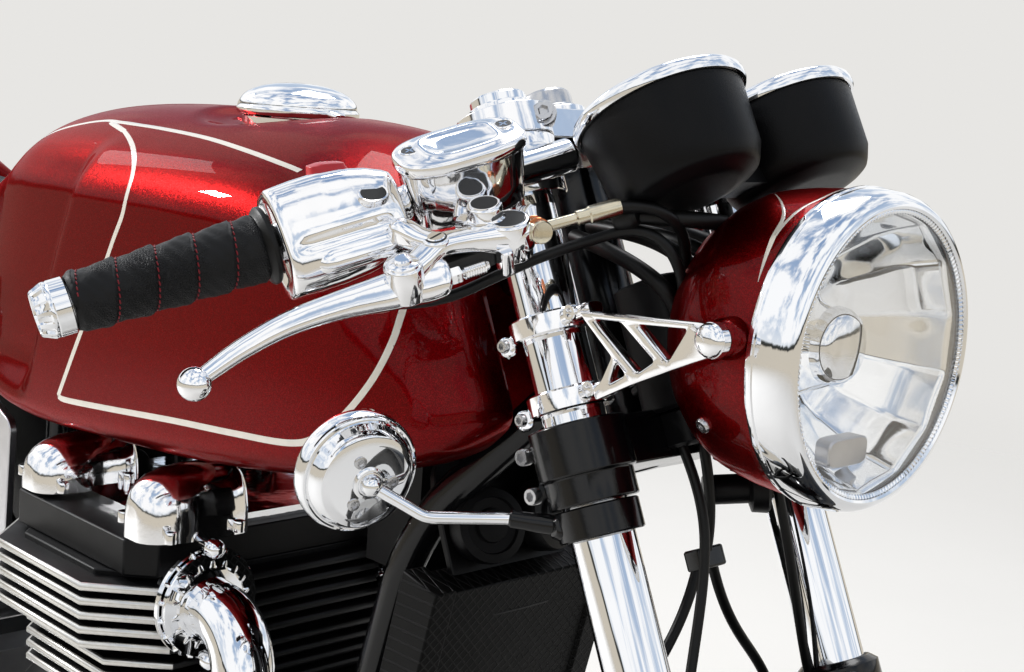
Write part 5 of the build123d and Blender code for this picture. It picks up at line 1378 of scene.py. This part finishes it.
chain_steel, _, _ = finish("chain_steel", "chain_steel", (0.34, 0.32, 0.28), 0.34, 1.0, mottle=0.1, tint=0.3,
    grain=300.0)
REAR, FRONT, BIG, SMALL, LINK = Vector((-674, 98, 318)), Vector((-86, 98, 330)), 115.0, 47.0, 15.875
reach = (FRONT - REAR).length
tilt, lean = atan2(FRONT.z - REAR.z, FRONT.x - REAR.x), asin((BIG - SMALL) / reach)
straight = reach * cos(lean)
SPROCKETS = [(REAR, BIG, pi + 2 * lean), (FRONT, SMALL, pi - 2 * lean)]
whole = 2 * straight + sum(radius * wrap for _, radius, wrap in SPROCKETS)


def on_chain(s):
    """Point of the chain's loop at a run s in mm: round each sprocket, then straight on to the other."""
    s, a = s % whole, tilt + pi / 2 + lean
    for hub, radius, wrap in SPROCKETS:
        a += min(s / radius, wrap)
        s -= radius * wrap
        if s < straight:
            ahead = max(s, 0)
            return hub.x + radius * cos(a) - ahead * sin(a), hub.z + radius * sin(a) + ahead * cos(a)
        s -= straight


bm = bmesh.new()
LINKS = 2 * round(whole / LINK / 2)
for n in range(LINKS):
    (x1, z1), (x2, z2) = on_chain(whole * n / LINKS), on_chain(whole * (n + 1) / LINKS)
    middle = mm((x1 + x2) / 2, REAR.y, (z1 + z2) / 2)
    for y in ((-6.4, -4.6), (4.6, 6.4)) if n % 2 else ((-4.4, -2.8), (2.8, 4.4)):
        link = at(middle, (0, 1, 0), (x2 - x1, 0, z2 - z1))
        lofted(bm, [[link @ mm(px, py, h) for px, py in [(-11.5, 3), (-7.8, 5.8), (-3, 4.2), (3, 4.2),
            (7.8, 5.8), (11.5, 3), (11.5, -3), (7.8, -5.8), (3, -4.2), (-3, -4.2), (-7.8, -5.8), (-11.5, -3)]]
            for h in y])
    bar(bm, mm(x1, REAR.y - 6.9, z1), mm(x1, REAR.y + 6.9, z1), 2.6, 10)
piece("chain_links", bm, chain_steel, "chassis", "chain", crease=34)

# Studio
# A pale sweep of floor that melts into the backdrop, under a soft sky with clouds
# that the polished parts mirror.
FLOOR = (0.80, 0.79, 0.77)
bm = bmesh.new()
bmesh.ops.create_grid(bm, x_segments=1, y_segments=1, size=30)
floor_mesh = bpy.data.meshes.new("studio_floor")
bm.to_mesh(floor_mesh)
floor = bpy.data.objects.new("studio_floor", floor_mesh)
bpy.context.collection.objects.link(floor)
floor_look, floor_skin, spot = finish("floor_paint", "satin_alloy", FLOOR, 0.7, grain=2.0, tint=0.02)
floor_mesh.materials.append(floor_look)
flat = spot.node("VectorMath", spot, (0.05, 0.0, 0.0), operation="DISTANCE", out="Value")
(1 - flat.step(1.6, 4.6)).to(floor_skin, "Alpha")
floor_skin.inputs["Emission Color"].default_value = (0.86, 0.82, 0.74, 1)
floor_skin.inputs["Emission Strength"].default_value = 0.22

world = bpy.data.worlds.new("studio_sky")
bpy.context.scene.world = world
world.use_nodes = True
sky = Wire(world.node_tree)
lit = world.node_tree.nodes["Background"]
way = sky.node("TexCoord", out="Generated")
rise = way.part("Z")
seen_direct = sky.node("LightPath", out="Is Camera Ray")
mirrored = sky.node("LightPath", out="Is Glossy Ray").most(sky.node("LightPath", out="Is Transmission Ray"))
ragged = rise + (way.noise(7.0, 4.0) - 0.5) * 0.07
dome = ragged.node("ValToRGB", ragged, stops=[(0.0, (0.66, 0.60, 0.50)), (0.022, (0.03, 0.03, 0.028)),
    (0.05, (0.06, 0.065, 0.06)), (0.075, (0.84, 0.88, 0.93)), (0.32, (0.52, 0.63, 0.79)),
    (1.0, (0.24, 0.36, 0.58))])
clouds = way.noise(2.6, 6.0, 0.6).step(0.40, 0.54) * ragged.step(0.07, 0.12)
shine = clouds.mix(dome, (1.1, 1.1, 1.1))
backdrop = mirrored.mix((0.46, 0.47, 0.49), shine)
seen_direct.mix(backdrop, FLOOR).to(lit, "Color")


def softbox(name, place, target, size, power):
    """A square soft light at one place, turned to another."""
    lamp = bpy.data.lights.new(name, "AREA")
    lamp.size, lamp.energy = size, power
    made = bpy.data.objects.new(name, lamp)
    made.location = place
    made.rotation_euler = (Vector(target) - Vector(place)).to_track_quat("-Z", "Y").to_euler()
    bpy.context.collection.objects.link(made)


def mirrored_at(spot, away):
    """The tank's point at a place in the view, and the place that far away which it mirrors there."""
    point, slope = seen(tank_tree, *spot)
    sight = (point - EYE).normalized()
    return point, point + (sight - 2 * sight.dot(slope) * slope) * away


# the key light stands where the tank mirrors it at the photograph's own highlight,
# and a broad one where it shows along the shoulder
GLINT, SHOULDER = (217, 193), (150, 160)
glint, place = mirrored_at(GLINT, 3.2)
softbox("key_light", place, glint, 0.24, 70)
ridge, place = mirrored_at(SHOULDER, 3.4)
softbox("shoulder_light", place, ridge, 0.8, 9)
softbox("back_light", (-0.9, 1.6, 4.0), (0, 0, 0.5), 1.6, 50)

lens = bpy.data.cameras.new("photo_camera")
lens.sensor_width, lens.lens = 36.0, 36.0 * FOCAL / (2 * MIDDLE[0])
lens.clip_start, lens.clip_end = 0.05, 60.0
camera = bpy.data.objects.new("photo_camera", lens)
axes = Matrix((RIGHT, -RIGHT.cross(-AIM), -AIM)).transposed()
camera.matrix_world = Matrix.Translation(EYE) @ axes.to_4x4()
bpy.context.collection.objects.link(camera)
bpy.context.scene.camera = camera
bpy.context.scene.view_settings.view_transform = "Standard"
